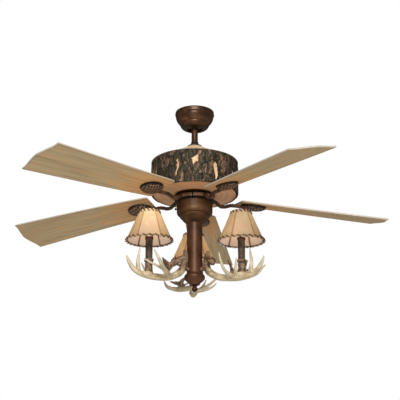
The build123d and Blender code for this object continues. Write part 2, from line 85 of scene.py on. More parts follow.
# ---------------------------------------------------------------- node recipes
class Recipe:
    """One node material while it is being put together."""

    def __init__(self, name: str) -> None:
        """Start an empty material with one principled shader.

        Args:
            name: The material's name.
        """
        self.material = bpy.data.materials.new(name)
        self.material.use_nodes = True
        self.tree = self.material.node_tree
        self.tree.nodes.clear()
        output = self.tree.nodes.new("ShaderNodeOutputMaterial")
        self.shader = self.tree.nodes.new("ShaderNodeBsdfPrincipled")
        self.tree.links.new(self.shader.outputs[0], output.inputs["Surface"])
        self.place = self.tree.nodes.new("ShaderNodeTexCoord").outputs["Object"]

    def feed(self, target: Socket, value: object) -> None:
        """Link a socket to the target, or set a constant on it.

        Args:
            target: The input to fill.
            value: A socket, a number or a colour.
        """
        if isinstance(value, bpy.types.NodeSocket):
            self.tree.links.new(value, target)
        elif isinstance(value, tuple) and len(value) == 3 and target.type == "RGBA":
            target.default_value = rgba(value)
        else:
            target.default_value = value

    def add(self, kind: str, inputs: dict[object, object]) -> bpy.types.Node:
        """Add a node and fill its inputs.

        Args:
            kind: The node's type.
            inputs: Names or numbers of its inputs, each with a socket or a constant.

        Returns:
            The node.
        """
        node = self.tree.nodes.new(kind)
        for name, value in inputs.items():
            self.feed(node.inputs[name], value)
        return node

    def grain(self, scale: float, detail: float = 4.0, rough: float = 0.55, bend: float = 0.0,
              stretch: Triple = (1, 1, 1), shift: float = 0.0) -> Socket:
        """A cloudy pattern in the solid.

        Args:
            scale: Number of clouds per metre.
            detail: Octaves of finer cloud.
            rough: Strength of the finer octaves.
            bend: How much the pattern is bent by itself.
            stretch: Extra factor along X, Y and Z.
            shift: Offset that gives another part of the same pattern.

        Returns:
            A value around 0.5.
        """
        place = self.add("ShaderNodeMapping", {"Vector": self.place, "Scale": stretch,
                                               "Location": (shift, shift, shift)})
        node = self.add("ShaderNodeTexNoise", {"Vector": place.outputs[0], "Scale": scale, "Detail": detail,
                                               "Roughness": rough, "Distortion": bend})
        return node.outputs[0]

    def cells(self, scale: float) -> Socket:
        """Distance to the middle of the nearest cell, with so many cells per metre."""
        return self.add("ShaderNodeTexVoronoi", {"Vector": self.place, "Scale": scale}).outputs["Distance"]

    def rings(self, scale: float, bend: float, detail: float) -> Socket:
        """Growth rings round the upright axis.

        Args:
            scale: Rings per metre, roughly.
            bend: How far they wander.
            detail: Octaves of wander.

        Returns:
            A value from 0 to 1 across each ring.
        """
        node = self.add("ShaderNodeTexWave", {"Vector": self.place, "Scale": scale, "Distortion": bend,
                                              "Detail": detail})
        node.wave_type, node.rings_direction = "RINGS", "Z"
        return node.outputs["Fac"]

    def ramp(self, value: Socket, stops: Stops) -> Socket:
        """Colours along a value.

        Args:
            value: The value, 0 to 1.
            stops: Places and their colours.

        Returns:
            The colour.
        """
        node = self.add("ShaderNodeValToRGB", {0: value})
        marks = node.color_ramp.elements
        marks.remove(marks[1])
        marks[0].position, marks[0].color = stops[0][0], rgba(stops[0][1])
        for place, colour in stops[1:]:
            marks.new(place).color = rgba(colour)
        return node.outputs[0]

    def span(self, value: Socket, low: float, high: float, start: float = 0.0, end: float = 1.0) -> Socket:
        """Stretch a value from the range low to high to the range start to end, kept inside it."""
        return self.add("ShaderNodeMapRange", dict(enumerate((value, low, high, start, end)))).outputs[0]

    def mix(self, share: object, first: object, second: object, how: str = "MIX") -> Socket:
        """Mix two colours.

        Args:
            share: Share of the second, 0 to 1.
            first: First colour.
            second: Second colour.
            how: Blend mode.

        Returns:
            The mixed colour.
        """
        node = self.add("ShaderNodeMix", {})
        node.data_type, node.blend_type = "RGBA", how
        for number, value in ((0, share), (6, first), (7, second)):
            self.feed(node.inputs[number], value)
        return node.outputs[2]

    def over(self, base: object, colour: Colour, value: Socket, low: float = 0.0, high: float = 1.0,
             share: float = 1.0) -> Socket:
        """Lay a colour over another where a value is high.

        Args:
            base: The colour below.
            colour: The colour laid over it.
            value: The value that places it.
            low: Where it starts to show.
            high: Where it shows most.
            share: How much of it shows there.

        Returns:
            The mixed colour.
        """
        return self.mix(self.span(value, low, high, 0.0, share), base, colour)

    def calc(self, how: str, first: object, second: object) -> Socket:
        """Arithmetic on two values.

        Args:
            how: Name of the operation.
            first: First value.
            second: Second value.

        Returns:
            The result.
        """
        node = self.add("ShaderNodeMath", {0: first, 1: second})
        node.operation = how
        return node.outputs[0]

    def mark(self, name: str, part: str = "Fac") -> Socket:
        """What the mesh carries at its points.

        Args:
            name: The mark's name.
            part: Fac for a value, Vector for a place.

        Returns:
            The value or the place.
        """
        node = self.add("ShaderNodeAttribute", {})
        node.attribute_name = name
        return node.outputs[part]

    def along(self, axis: str) -> Socket:
        """One object coordinate in metres, by its axis letter."""
        return self.add("ShaderNodeSeparateXYZ", {0: self.place}).outputs[axis]

    def relief(self, height: Socket, depth: float, strength: float = 1.0) -> None:
        """Give the shader's normal a fine relief.

        Args:
            height: Height, 0 to 1.
            depth: Depth of the relief in metres.
            strength: Share of it that shows.
        """
        node = self.add("ShaderNodeBump", {"Strength": strength, "Distance": depth, "Height": height})
        self.feed(self.shader.inputs["Normal"], node.outputs[0])

    def coat(self, **values: object) -> None:
        """Fill the shader's inputs, named with underscores for spaces.

        Args:
            **values: Input names and their values.
        """
        for name, value in values.items():
            wanted = name.replace("_", " ").lower()
            target = next(s for s in self.shader.inputs if s.name.lower() == wanted)
            self.feed(target, value)


# ---------------------------------------------------------------- finishes
MADE: dict[str, bpy.types.Material] = {}    # materials made so far, by finish name


@dataclass(frozen=True)
class Finish:
    """A surface finish, made once and shared by every piece that wears it."""

    name: str

    def build(self, recipe: Recipe) -> None:
        """Fill in the recipe; each finish has its own."""
        raise NotImplementedError

    def material(self) -> bpy.types.Material:
        """The finish's material, made the first time it is asked for.

        Returns:
            The material.
        """
        if self.name not in MADE:
            recipe = Recipe(self.name)
            self.build(recipe)
            MADE[self.name] = recipe.material
        return MADE[self.name]


@dataclass(frozen=True)
class WeatheredBronze(Finish):
    """Dark painted metal, rubbed to a reddish brown, with a soft sheen."""

    dark: Colour
    mid: Colour
    rubbed: Colour
    roughness: float = 0.42
    metallic: float = 0.35
    varnish: float = 0.05
    # Painted shade: between these heights the colour darkens downwards towards the shade colour below.
    painted_shade_heights: tuple[float, float] | None = None    # heights between which it darkens downwards, in metres
    painted_shade_colour: Colour = linear(10, 8, 5)

    def build(self, recipe: Recipe) -> None:
        """Cloudy brown layers with fine speckle and brushed wear, and painted shade towards the bottom where
        heights are given.

        Args:
            recipe: The material to fill in.
        """
        cloud = recipe.grain(24, 4, 0.55, 0.4)
        base = recipe.ramp(cloud, ((0.3, self.dark), (0.5, self.mid), (0.74, self.rubbed)))
        speck = recipe.span(recipe.grain(900, 2, 0.7), 0.58, 0.72)
        base = recipe.over(base, self.rubbed, speck, share=0.25)
        stain = recipe.span(recipe.grain(95, 3, 0.6, shift=3.0), 0.54, 0.72)
        base = recipe.over(base, self.dark, stain, share=0.3)
        # Painted shade: darker towards the bottom between the given heights.
        if self.painted_shade_heights:
            base = recipe.mix(recipe.span(recipe.along("Z"), *self.painted_shade_heights, 0.88, 0.0), base, self.painted_shade_colour)
        gloss = recipe.span(recipe.grain(120, 3, 0.6), 0.3, 0.7, self.roughness - 0.04, self.roughness + 0.07)
        recipe.coat(base_color=base, metallic=self.metallic, roughness=gloss, coat_weight=self.varnish,
                    coat_roughness=0.28, specular_tint=(1.0, 0.86, 0.7, 1.0))
        recipe.relief(recipe.grain(700, 3, 0.6), 0.0001, 0.2)


@dataclass(frozen=True)
class LimedOak(Finish):
    """Open-grained oak veneer, washed grey, with the lamps' glow painted warm towards the hub."""

    # Warm tone of the painted lamp glow near the hub, also used for the flame figure.
    warm: Colour
    pale: Colour
    grey: Colour
    pore: Colour
    lime: Colour
    # Colour of the painted shadow line along the edges.
    edge_shadow: Colour
    fade_from: float = 0.25
    fade_to: float = 0.37

    def build(self, recipe: Recipe) -> None:
        """Long figure, fine pores, a painted warm glow of the lamps near the hub that fades along the board,
        and a painted shadow line at the edges.

        Args:
            recipe: The material to fill in.
        """
        recipe.place = recipe.mark("board", "Vector")
        warp = recipe.grain(6, 3, 0.5, 0.8, stretch=(1.0, 2.4, 2.4), shift=2.0)
        reach = recipe.calc("ADD", recipe.along("X"), recipe.span(warp, 0.3, 0.7, -0.07, 0.07))
        # Painted light: the lamps' warm glow near the hub, fading to the pale tone further out.
        lamp_glow_fade = recipe.over(self.warm, self.pale, reach, self.fade_from, self.fade_to)
        figure = recipe.grain(7, 4, 0.55, 1.0, stretch=(0.45, 6.0, 6.0))
        base = recipe.over(lamp_glow_fade, self.grey, figure, 0.36, 0.66, 0.5)
        flame = recipe.grain(16, 3, 0.55, 0.8, stretch=(0.3, 3.0, 3.0), shift=9.0)
        base = recipe.over(base, self.warm, flame, 0.5, 0.72, 0.45)
        streak = recipe.grain(50, 4, 0.62, 0.25, stretch=(0.1, 3.4, 3.4))
        base = recipe.over(base, self.pore, streak, 0.48, 0.72, 0.6)
        lime = recipe.grain(64, 3, 0.6, 0.2, stretch=(0.1, 3.2, 3.2), shift=5.0)
        base = recipe.over(base, self.lime, lime, 0.52, 0.74, 0.5)
        # Painted shadow: a dark line where each face meets its eased edge.
        base = recipe.over(base, self.edge_shadow, recipe.mark("margin"), share=0.75)
        gloss = recipe.span(streak, 0.35, 0.7, 0.5, 0.62)
        recipe.coat(base_color=base, roughness=gloss, specular_ior_level=0.4)
        recipe.relief(streak, 0.0002, 0.4)


@dataclass(frozen=True)
class SplitBark(Finish):
    """Furrowed bark with places where it has fallen off the wood."""

    plates: Stops = ((0.04, linear(70, 66, 50)), (0.2, linear(114, 102, 84)), (0.32, linear(166, 112, 78)),
                     (0.46, linear(140, 124, 116)), (0.6, linear(178, 144, 124)),
                     (0.72, linear(148, 102, 70)), (0.84, linear(124, 114, 102)), (0.96, linear(94, 82, 60)))
    dust: Colour = linear(158, 134, 114)
    crack: Colour = linear(38, 34, 22)
    # Colour of the painted shade on the drum's sides, away from its lit front.
    side_shade: Colour = linear(40, 34, 20)
    furrow: Colour = linear(20, 18, 11)
    cream: Colour = linear(240, 208, 170)
    honey: Colour = linear(208, 164, 122)

    def build(self, recipe: Recipe) -> None:
        """Dark furrows with a painted shadow ring round each bare spot, plates in eight tones, painted shade
        on the sides, and cream wood where the mesh is marked bare.

        Args:
            recipe: The material to fill in.
        """
        blotch = recipe.grain(60, 3, 0.65, 0.8, stretch=(1, 1, 0.42))
        tint = recipe.calc("ADD", recipe.mark("tint"), recipe.span(blotch, 0.3, 0.7, -0.24, 0.24))
        base = recipe.ramp(tint, self.plates)
        fibre = recipe.grain(210, 4, 0.7, 0.5, stretch=(1, 1, 0.2))
        base = recipe.over(base, self.dust, fibre, 0.5, 0.72, 0.5)
        base = recipe.over(base, self.crack, fibre, 0.46, 0.3, 0.55)
        # Painted shade: darker towards the drum's sides, away from its lit front.
        base = recipe.mix(recipe.mark("side_shade"), base, self.side_shade)
        base = recipe.over(base, self.furrow, recipe.mark("furrow"), share=0.9)
        line = recipe.grain(120, 3, 0.6, 0.4, stretch=(1, 1, 0.15))
        wood = recipe.over(self.cream, self.honey, line, 0.36, 0.64)
        bare = recipe.mark("bare")
        base = recipe.mix(bare, base, wood)
        recipe.coat(base_color=base, roughness=recipe.span(bare, 0, 1, 0.86, 0.6), specular_ior_level=0.25)
        recipe.relief(fibre, 0.0014, 0.9)


@dataclass(frozen=True)
class TurnedWood(Finish):
    """Peeled and turned softwood with growth rings."""

    light: Colour
    dark: Colour
    pore: Colour = linear(110, 74, 48)

    def build(self, recipe: Recipe) -> None:
        """Rings round the fan's axis over a warm stain.

        Args:
            recipe: The material to fill in.
        """
        ring = recipe.rings(16, 2.6, 3)
        base = recipe.over(self.light, self.dark, ring, 0.2, 0.9, 0.5)
        stain = recipe.grain(22, 4, 0.6, 0.5)
        base = recipe.over(base, self.dark, stain, 0.45, 0.75, 0.6)
        pore = recipe.grain(420, 2, 0.6)
        base = recipe.over(base, self.pore, pore, 0.56, 0.74, 0.25)
        recipe.coat(base_color=base, roughness=recipe.span(stain, 0.3, 0.7, 0.42, 0.58), coat_weight=0.1,
                    coat_roughness=0.3)
        recipe.relief(ring, 0.0003, 0.4)


@dataclass(frozen=True)
class Rawhide(Finish):
    """Scraped rawhide, lit from inside; its tones run from the low rim to the top, painted paler near the
    bulb and lighter or darker by panel.
    """

    inside: bool = False
    glow: tuple[float, float] = (0.05, 0.3)
    # Share of a painted orange tint, for a shade painted as showing more of its glow.
    glow_tint: float = 0.0
    lining: Stops = ((0.0, linear(236, 218, 206)), (0.4, linear(240, 218, 194)), (1.0, linear(250, 224, 184)))
    # Pale for a panel painted as facing the light, amber for one painted as turned from it; both paler
    # towards the top, as painted light of the bulb.
    pale: Stops = ((0.0, linear(180, 154, 120)), (0.16, linear(196, 166, 134)), (0.42, linear(206, 172, 140)),
                   (0.66, linear(213, 188, 146)), (0.86, linear(216, 192, 150)), (1.0, linear(210, 176, 136)))
    amber: Stops = ((0.0, linear(170, 142, 98)), (0.3, linear(194, 158, 110)), (0.6, linear(212, 170, 118)),
                    (1.0, linear(218, 176, 128)))
    # Orange of the painted glow tint.
    honey: Colour = linear(236, 168, 88)
    blush: Colour = linear(222, 162, 118)
    milk: Colour = linear(238, 222, 176)
    seam: Colour = linear(154, 112, 74)
    fleck: Colour = linear(160, 116, 74)

    def build(self, recipe: Recipe) -> None:
        """Mottled hide, paler near the bulb, painted lighter or darker by panel, darker along the seams and
        rims.

        Args:
            recipe: The material to fill in.
        """
        rise, seam = recipe.mark("rise"), recipe.mark("seam")
        if self.inside:
            base = recipe.ramp(rise, self.lining)
        else:
            pale, amber = recipe.ramp(rise, self.pale), recipe.ramp(rise, self.amber)
            # Painted light: each panel is mixed from pale to amber by its painted shading mark.
            base = recipe.mix(recipe.mark("panel_shade"), pale, amber)
        blotch = recipe.grain(30, 4, 0.6, 0.8)
        # Painted light: tint the hide orange by the glow tint share.
        if self.glow_tint:
            base = recipe.mix(self.glow_tint, base, self.honey)
        base = recipe.over(base, self.blush, blotch, 0.5, 0.74, 0.4)
        milky = recipe.grain(48, 3, 0.6, 0.6, shift=8.0)
        base = recipe.over(base, self.milk, milky, 0.54, 0.74, 0.35)
        base = recipe.over(base, self.seam, seam, 0.1, 1.0, 0.7)
        fleck = recipe.grain(420, 3, 0.7, 0.2, stretch=(1, 1, 0.5))
        base = recipe.over(base, self.fleck, fleck, 0.58, 0.72, 0.3)
        shine = recipe.span(recipe.grain(60, 3, 0.5), 0.3, 0.7, 0.55, 0.72)
        glow = recipe.span(rise, 0.0, 0.9, *self.glow)
        glow = recipe.calc("MULTIPLY", glow, recipe.span(seam, 0.1, 1.0, 1.0, 0.45))
        recipe.coat(base_color=base, roughness=shine, emission_color=base, emission_strength=glow,
                    specular_ior_level=0.3)
        recipe.relief(recipe.grain(240, 4, 0.65), 0.0005, 0.5)


@dataclass(frozen=True)
class RubbedLeather(Finish):
    """Dark leather cord with light wear."""

    dark: Colour
    light: Colour

    def build(self, recipe: Recipe) -> None:
        """Fine grain with worn, lighter high spots.

        Args:
            recipe: The material to fill in.
        """
        worn = recipe.grain(330, 4, 0.65)
        base = recipe.ramp(worn, ((0.36, self.dark), (0.7, self.light)))
        recipe.coat(base_color=base, roughness=recipe.span(worn, 0.3, 0.7, 0.5, 0.72))
        recipe.relief(recipe.cells(1500), 0.0002, 0.5)


@dataclass(frozen=True)
class CastAntler(Finish):
    """Cast antler, ivory at the tines and brown at the burr."""

    horn: Colour = linear(214, 198, 164)
    horn_shade: Colour = linear(178, 158, 124)
    ivory: Colour = linear(226, 220, 200)
    ivory_shade: Colour = linear(204, 196, 170)
    stain: Colour = linear(122, 98, 70)
    burr: Colour = linear(70, 46, 31)
    burr_fleck: Colour = linear(178, 146, 116)
    burr_groove: Colour = linear(58, 36, 24)

    def build(self, recipe: Recipe) -> None:
        """Tone by how near the burr it is, with stain in the lengthwise grooves.

        Args:
            recipe: The material to fill in.
        """
        root, groove = recipe.mark("root"), recipe.mark("groove")
        mottle = recipe.grain(46, 4, 0.6, 0.7)
        horn = recipe.over(self.horn, self.horn_shade, mottle, 0.35, 0.66)
        ivory = recipe.over(self.ivory, self.ivory_shade, mottle, 0.4, 0.7)
        base = recipe.mix(recipe.mark("tip"), horn, ivory)
        base = recipe.over(base, self.stain, groove, 0.5, 1.0, 0.6)
        fleck = recipe.grain(120, 4, 0.7, 0.6)
        burr = recipe.over(self.burr, self.burr_fleck, fleck, 0.36, 0.66)
        burr = recipe.over(burr, self.burr_groove, groove, 0.35, 0.9, 0.8)
        edge = recipe.span(recipe.calc("ADD", root, recipe.span(mottle, 0.3, 0.7, -0.18, 0.18)), 0.3, 0.75)
        base = recipe.mix(edge, base, burr)
        gloss = recipe.span(mottle, 0.3, 0.7, 0.4, 0.58)
        recipe.coat(base_color=base, roughness=gloss, specular_ior_level=0.45, coat_weight=0.1,
                    coat_roughness=0.3)
        recipe.relief(recipe.grain(420, 4, 0.65), 0.0005, 0.6)


@dataclass(frozen=True)
class BarkCandle(Finish):
    """Candle tube with dark bark-like drips and a redder lip."""

    lip_height: float
    bark: Stops = ((0.32, linear(34, 24, 16)), (0.5, linear(72, 55, 40)), (0.68, linear(116, 96, 76)))
    lip_dark: Colour = linear(62, 26, 16)
    lip_light: Colour = linear(112, 56, 36)

    def build(self, recipe: Recipe) -> None:
        """Upright fibres in dark brown, red-brown above the lip's lower edge.

        Args:
            recipe: The material to fill in.
        """
        fibre = recipe.grain(150, 4, 0.7, 0.6, stretch=(1, 1, 0.22))
        base = recipe.ramp(fibre, self.bark)
        lip = recipe.span(recipe.along("Z"), self.lip_height - 0.002, self.lip_height + 0.001)
        red = recipe.over(self.lip_dark, self.lip_light, fibre, 0.35, 0.65)
        base = recipe.mix(lip, base, red)
        recipe.coat(base_color=base, roughness=0.62)
        recipe.relief(fibre, 0.0008, 0.8)


@dataclass(frozen=True)
class FrostedGlow(Finish):
    """Frosted warm bulb glass."""

    clear: Colour = linear(255, 238, 206)
    warm: Colour = linear(255, 224, 178)
    power: float = 1.6

    def build(self, recipe: Recipe) -> None:
        """Frost with a faint cloud, giving warm light.

        Args:
            recipe: The material to fill in.
        """
        cloud = recipe.grain(90, 3, 0.5)
        base = recipe.over(self.clear, self.warm, cloud, 0.3, 0.7)
        recipe.coat(base_color=base, roughness=recipe.span(cloud, 0.3, 0.7, 0.3, 0.42), emission_color=base,
                    emission_strength=self.power)


@dataclass(frozen=True)
class BareMetal(Finish):
    """Plain machined or cast metal."""

    tone: Colour
    roughness: float
    brushed: Triple = (1, 1, 1)

    def build(self, recipe: Recipe) -> None:
        """Fine brush marks and faint staining over one metal tone.

        Args:
            recipe: The material to fill in.
        """
        brush = recipe.grain(420, 3, 0.6, 0.1, stretch=self.brushed)
        stain = recipe.grain(28, 4, 0.6, 0.4)
        dull = tuple(0.6 * c for c in self.tone)
        base = recipe.over(self.tone, dull, stain, 0.4, 0.75, 0.5)
        base = recipe.over(base, dull, brush, 0.45, 0.7, 0.25)
        recipe.coat(base_color=base, metallic=1.0,
                    roughness=recipe.span(brush, 0.3, 0.7, self.roughness - 0.08, self.roughness + 0.12))
        recipe.relief(brush, 0.0001, 0.3)


@dataclass(frozen=True)
class MouldedPlastic(Finish):
    """Moulded plastic with a fine spark-eroded texture."""

    tone: Colour

    def build(self, recipe: Recipe) -> None:
        """One tone with faint flow marks and fine pitting.

        Args:
            recipe: The material to fill in.
        """
        flow = recipe.grain(30, 3, 0.5, 0.8)
        lighter = tuple(min(1.0, 1.7 * c + 0.01) for c in self.tone)
        recipe.coat(base_color=recipe.over(self.tone, lighter, flow, 0.35, 0.7),
                    roughness=recipe.span(recipe.grain(700, 2, 0.5), 0.3, 0.7, 0.4, 0.55))
        recipe.relief(recipe.cells(1800), 0.0001, 0.4)


@dataclass(frozen=True)
class RubbedCasting(Finish):
    """Dark casting whose high spots are rubbed light and painted as highlights, and whose joints are dark
    with patina and painted shade.
    """

    worn: Colour = linear(150, 128, 104)
    bright: Colour = linear(220, 196, 176)
    # Tones along the joint mark: a painted highlight at 0, near black in the joints as patina and painted
    # shade.
    depth: Stops = ((0.0, linear(178, 148, 124)), (0.08, linear(94, 70, 52)), (0.36, linear(34, 24, 16)),
                    (1.0, linear(8, 6, 4)))

    def build(self, recipe: Recipe) -> None:
        """Dark in the joints between scales with patina and painted shade, brown, rubbed and painted lit on
        top.

        Args:
            recipe: The material to fill in.
        """
        cloud = recipe.grain(90, 4, 0.6, 0.5)
        worn = recipe.over(self.worn, self.bright, cloud, 0.35, 0.68)
        base = recipe.mix(0.8, recipe.ramp(recipe.mark("joint"), self.depth), worn, "MULTIPLY")
        recipe.coat(base_color=base, metallic=0.15, roughness=recipe.span(cloud, 0.3, 0.7, 0.42, 0.58))
        recipe.relief(recipe.grain(600, 3, 0.6), 0.0003, 0.5)


@dataclass(frozen=True)
class PaleFloor(Finish):
    """Matt pale studio floor."""

    shade: Colour = linear(236, 234, 230)
    light: Colour = linear(244, 243, 240)

    def build(self, recipe: Recipe) -> None:
        """Near white with the faintest cloud.

        Args:
            recipe: The material to fill in.
        """
        cloud = recipe.grain(2.0, 3, 0.5)
        base = recipe.over(self.shade, self.light, cloud, 0.3, 0.7)
        recipe.coat(base_color=base, roughness=0.9)


BRONZE = WeatheredBronze("weathered_bronze", linear(54, 34, 17), linear(80, 53, 31), linear(108, 76, 48),
                         0.5, 0.5)
CANOPY_BRONZE = WeatheredBronze("canopy_bronze", linear(50, 32, 17), linear(82, 54, 35), linear(122, 88, 66),
                                0.34, 0.5, 0.25)
# Painted shade: the canopy bowl darkens towards its underside.
BOWL_BRONZE = WeatheredBronze("bowl_bronze", linear(56, 37, 21), linear(88, 58, 38), linear(128, 92, 68),
                              0.34, 0.5, 0.2, (-0.0605, -0.0480))
# Painted light: the hub band's bronze is lighter than the rest to offset the drum's shadow on it.
LIT_HUB_BRONZE = WeatheredBronze("lit_hub_bronze", linear(104, 76, 56), linear(160, 122, 98), linear(206, 168, 146),
                             0.5, 0.3)
# Painted shade: near-black bronze for the flywheel and for the hub ring's lower, inner and top faces.
SHADOW_BRONZE = WeatheredBronze("shadow_bronze", linear(10, 7, 4), linear(19, 13, 8), linear(34, 25, 17),
                              0.44, 0.4)
FINIAL_BRONZE = WeatheredBronze("finial_bronze", linear(32, 9, 6), linear(50, 17, 11), linear(76, 32, 22))
RED_BRONZE = WeatheredBronze("red_bronze", linear(62, 35, 18), linear(82, 50, 32), linear(100, 66, 46), 0.46)
CAST_BRONZE = WeatheredBronze("cast_bronze", linear(36, 25, 15), linear(70, 50, 36), linear(112, 86, 68),
                              0.5, 0.3)
MEDALLION = RubbedCasting("rubbed_casting")
OAK = LimedOak("limed_oak", warm=linear(216, 164, 107), pale=linear(192, 166, 125),
               grey=linear(166, 151, 115), pore=linear(122, 92, 60), lime=linear(206, 186, 152),
               edge_shadow=linear(92, 74, 52))
OAK_EDGE = LimedOak("oak_edging", warm=linear(196, 180, 160), pale=linear(196, 184, 170),
                    grey=linear(180, 168, 154), pore=linear(160, 146, 128), lime=linear(208, 198, 186),
                    edge_shadow=linear(120, 100, 76))
BARK = SplitBark("split_bark")
CONE_WOOD = TurnedWood("peeled_cone", linear(250, 224, 184), linear(226, 186, 142))
DISC_WOOD = TurnedWood("stained_disc", linear(228, 176, 130), linear(196, 142, 98))
HIDE = Rawhide("laced_rawhide")
# Painted light: the lamp behind the column gets a stronger glow and an orange tint.
GLOWING_HIDE = Rawhide("glowing_rawhide", glow=(0.2, 0.4), glow_tint=0.24)    # the lamp behind the column
HIDE_LINING = Rawhide("rawhide_lining", True, (0.04, 0.17))
LACE = RubbedLeather("leather_lace", linear(36, 20, 12), linear(98, 62, 38))
RIB_TAPE = RubbedLeather("rib_tape", linear(96, 40, 22), linear(156, 84, 54))
ANTLER = CastAntler("cast_antler")
CANDLE = BarkCandle("bark_candle", -0.4722)
GLASS = FrostedGlow("frosted_glass")
ZINC = BareMetal("zinc_steel", (0.56, 0.55, 0.52), 0.36)
GROUND_STEEL = BareMetal("ground_steel", (0.62, 0.62, 0.63), 0.25, brushed=(1, 1, 0.1))
LAMINATION = BareMetal("lamination_stack", (0.3, 0.3, 0.31), 0.5, brushed=(0.1, 0.1, 9))
CAST_ALUMINIUM = BareMetal("cast_aluminium", (0.7, 0.7, 0.71), 0.48)
COPPER = BareMetal("enamelled_copper", (0.62, 0.25, 0.1), 0.3, brushed=(1, 1, 6))
DARK_PLASTIC = MouldedPlastic("dark_plastic", (0.012, 0.011, 0.011))
SOCKET_PLASTIC = MouldedPlastic("socket_phenolic", (0.03, 0.024, 0.02))
FLOOR = PaleFloor("pale_floor")


# ---------------------------------------------------------------- shapes
@dataclass
class Shape:
    """Loose mesh data: points, faces, and values per point."""

    points: np.ndarray
    faces: list[tuple[int, ...]]
    marks: dict[str, np.ndarray] = field(default_factory=dict)
    finishes: list[int] | None = None

    def placed(self, matrix: Matrix) -> "Shape":
        """The same shape, moved by a matrix."""
        m = np.array(matrix)
        return Shape(self.points @ m[:3, :3].T + m[:3, 3], self.faces, self.marks, self.finishes)

    @staticmethod
    def joined(shapes: list["Shape"]) -> "Shape":
        """Several shapes as one.

        Args:
            shapes: The shapes, which carry the same marks.

        Returns:
            One shape.
        """
        faces, finishes, base = [], [], 0
        for shape in shapes:
            faces += [tuple(base + i for i in face) for face in shape.faces]
            finishes += shape.finishes or [0] * len(shape.faces)
            base += len(shape.points)
        marks = {name: np.concatenate([s.marks[name] for s in shapes]) for name in shapes[0].marks}
        return Shape(np.concatenate([s.points for s in shapes]), faces, marks, finishes)


def smooth_line(points: object, per_span: int = 6) -> np.ndarray:
    """Run a smooth line through points, even where their spacing differs.

    Args:
        points: The points, each of any number of values.
        per_span: Points made for each span.

    Returns:
        The line's points.
    """
    p = np.array(points, float)
    p = np.vstack([2 * p[0] - p[1], p, 2 * p[-1] - p[-2]])
    line = []
    for a, b, c, d in zip(p, p[1:], p[2:], p[3:]):
        t1 = max(np.linalg.norm(b - a), 1e-9) ** 0.5
        t2 = t1 + max(np.linalg.norm(c - b), 1e-9) ** 0.5
        t3 = t2 + max(np.linalg.norm(d - c), 1e-9) ** 0.5
        for t in np.linspace(t1, t2, per_span, endpoint=False):
            a1 = a + (b - a) * t / t1
            a2 = b + (c - b) * (t - t1) / (t2 - t1)
            a3 = c + (d - c) * (t - t2) / (t3 - t2)
            b1, b2 = a1 + (a2 - a1) * t / t2, a2 + (a3 - a2) * (t - t1) / (t3 - t1)
            line.append(b1 + (b2 - b1) * (t - t1) / (t2 - t1))
    line.append(p[-2])
    return np.array(line)


def round_axis(radius: object, turn: object, height: object) -> np.ndarray:
    """Points round an upright axis, from their radii, angles in radians and heights."""
    return np.stack([radius * np.cos(turn), radius * np.sin(turn), height + 0 * (radius * turn)], axis=-1)


def skin(rows: np.ndarray, loop: bool = False, caps: bool = False) -> Shape:
    """Cover a grid of points with quads; each row closes on itself.

    Args:
        rows: Points as rows x columns x 3.
        loop: The last row joins the first.
        caps: Close the first and last rows with flat faces.

    Returns:
        The skin.
    """
    m, n, _ = rows.shape
    faces = []
    for i in range(m if loop else m - 1):
        j = (i + 1) % m
        for k in range(n):
            q = (k + 1) % n
            faces.append((i * n + k, i * n + q, j * n + q, j * n + k))
    if caps:
        faces.append(tuple(range(n - 1, -1, -1)))
        faces.append(tuple((m - 1) * n + k for k in range(n)))
    return Shape(rows.reshape(-1, 3), faces)


def turned(outline: np.ndarray, segments: int, closed: bool = True) -> Shape:
    """Turn an outline of (radius, height) about Z; a closed one is a loop."""
    turn = np.linspace(0, 2 * pi, segments, endpoint=False)
    return skin(round_axis(outline[:, 0:1], turn, outline[:, 1:2]), loop=closed)


def outline_mm(*runs: list[tuple[float, float]], per_span: int = 6) -> np.ndarray:
    """Join smooth runs of (radius, height) in millimetres into an outline in metres, corners between."""
    return MM * np.vstack([smooth_line(run, per_span) if len(run) > 2 else np.array(run, float)
                           for run in runs])


def carried(path: np.ndarray) -> tuple[np.ndarray, np.ndarray, np.ndarray]:
    """Carry a cross frame along a path without twisting it.

    Args:
        path: Points of the path.

    Returns:
        The directions along, to the side and up at each point.
    """
    along = np.gradient(path, axis=0)
    along /= np.linalg.norm(along, axis=1)[:, None]
    side = np.array((0.0, 0.0, 1.0))
    if abs(side @ along[0]) > 0.9:
        side = np.array((1.0, 0.0, 0.0))
    sides = []
    for d in along:
        side = side - d * (side @ d)
        side /= np.linalg.norm(side)
        sides.append(side.copy())
    sides = np.array(sides)
    return along, sides, np.cross(along, sides)


def bar_along(path: np.ndarray, radii: np.ndarray, sides: int = 10, flat: float = 1.0) -> Shape:
    """Sweep a round or flattened bar along a path, with rounded ends.

    Args:
        path: Points of the path.
        radii: Radius at each point.
        sides: Points round the bar.
        flat: Factor on the thickness across the side direction.

    Returns:
        The bar.
    """
    along, side, up = carried(path)
    dome = ((0.5, 0.87), (0.87, 0.5), (0.99, 0.12))     # reach and width of the rounded end, as shares
    head = [(path[0] - along[0] * radii[0] * s, radii[0] * c, 0) for s, c in dome[::-1]]
    foot = [(path[-1] + along[-1] * radii[-1] * s, radii[-1] * c, -1) for s, c in dome]
    body = [(path[k], radii[k], k) for k in range(len(path))]
    turn = np.linspace(0, 2 * pi, sides, endpoint=False)[:, None]
    rows = [centre + width * (np.cos(turn) * side[k] + flat * np.sin(turn) * up[k])
            for centre, width, k in head + body + foot]
    return skin(np.array(rows), caps=True)


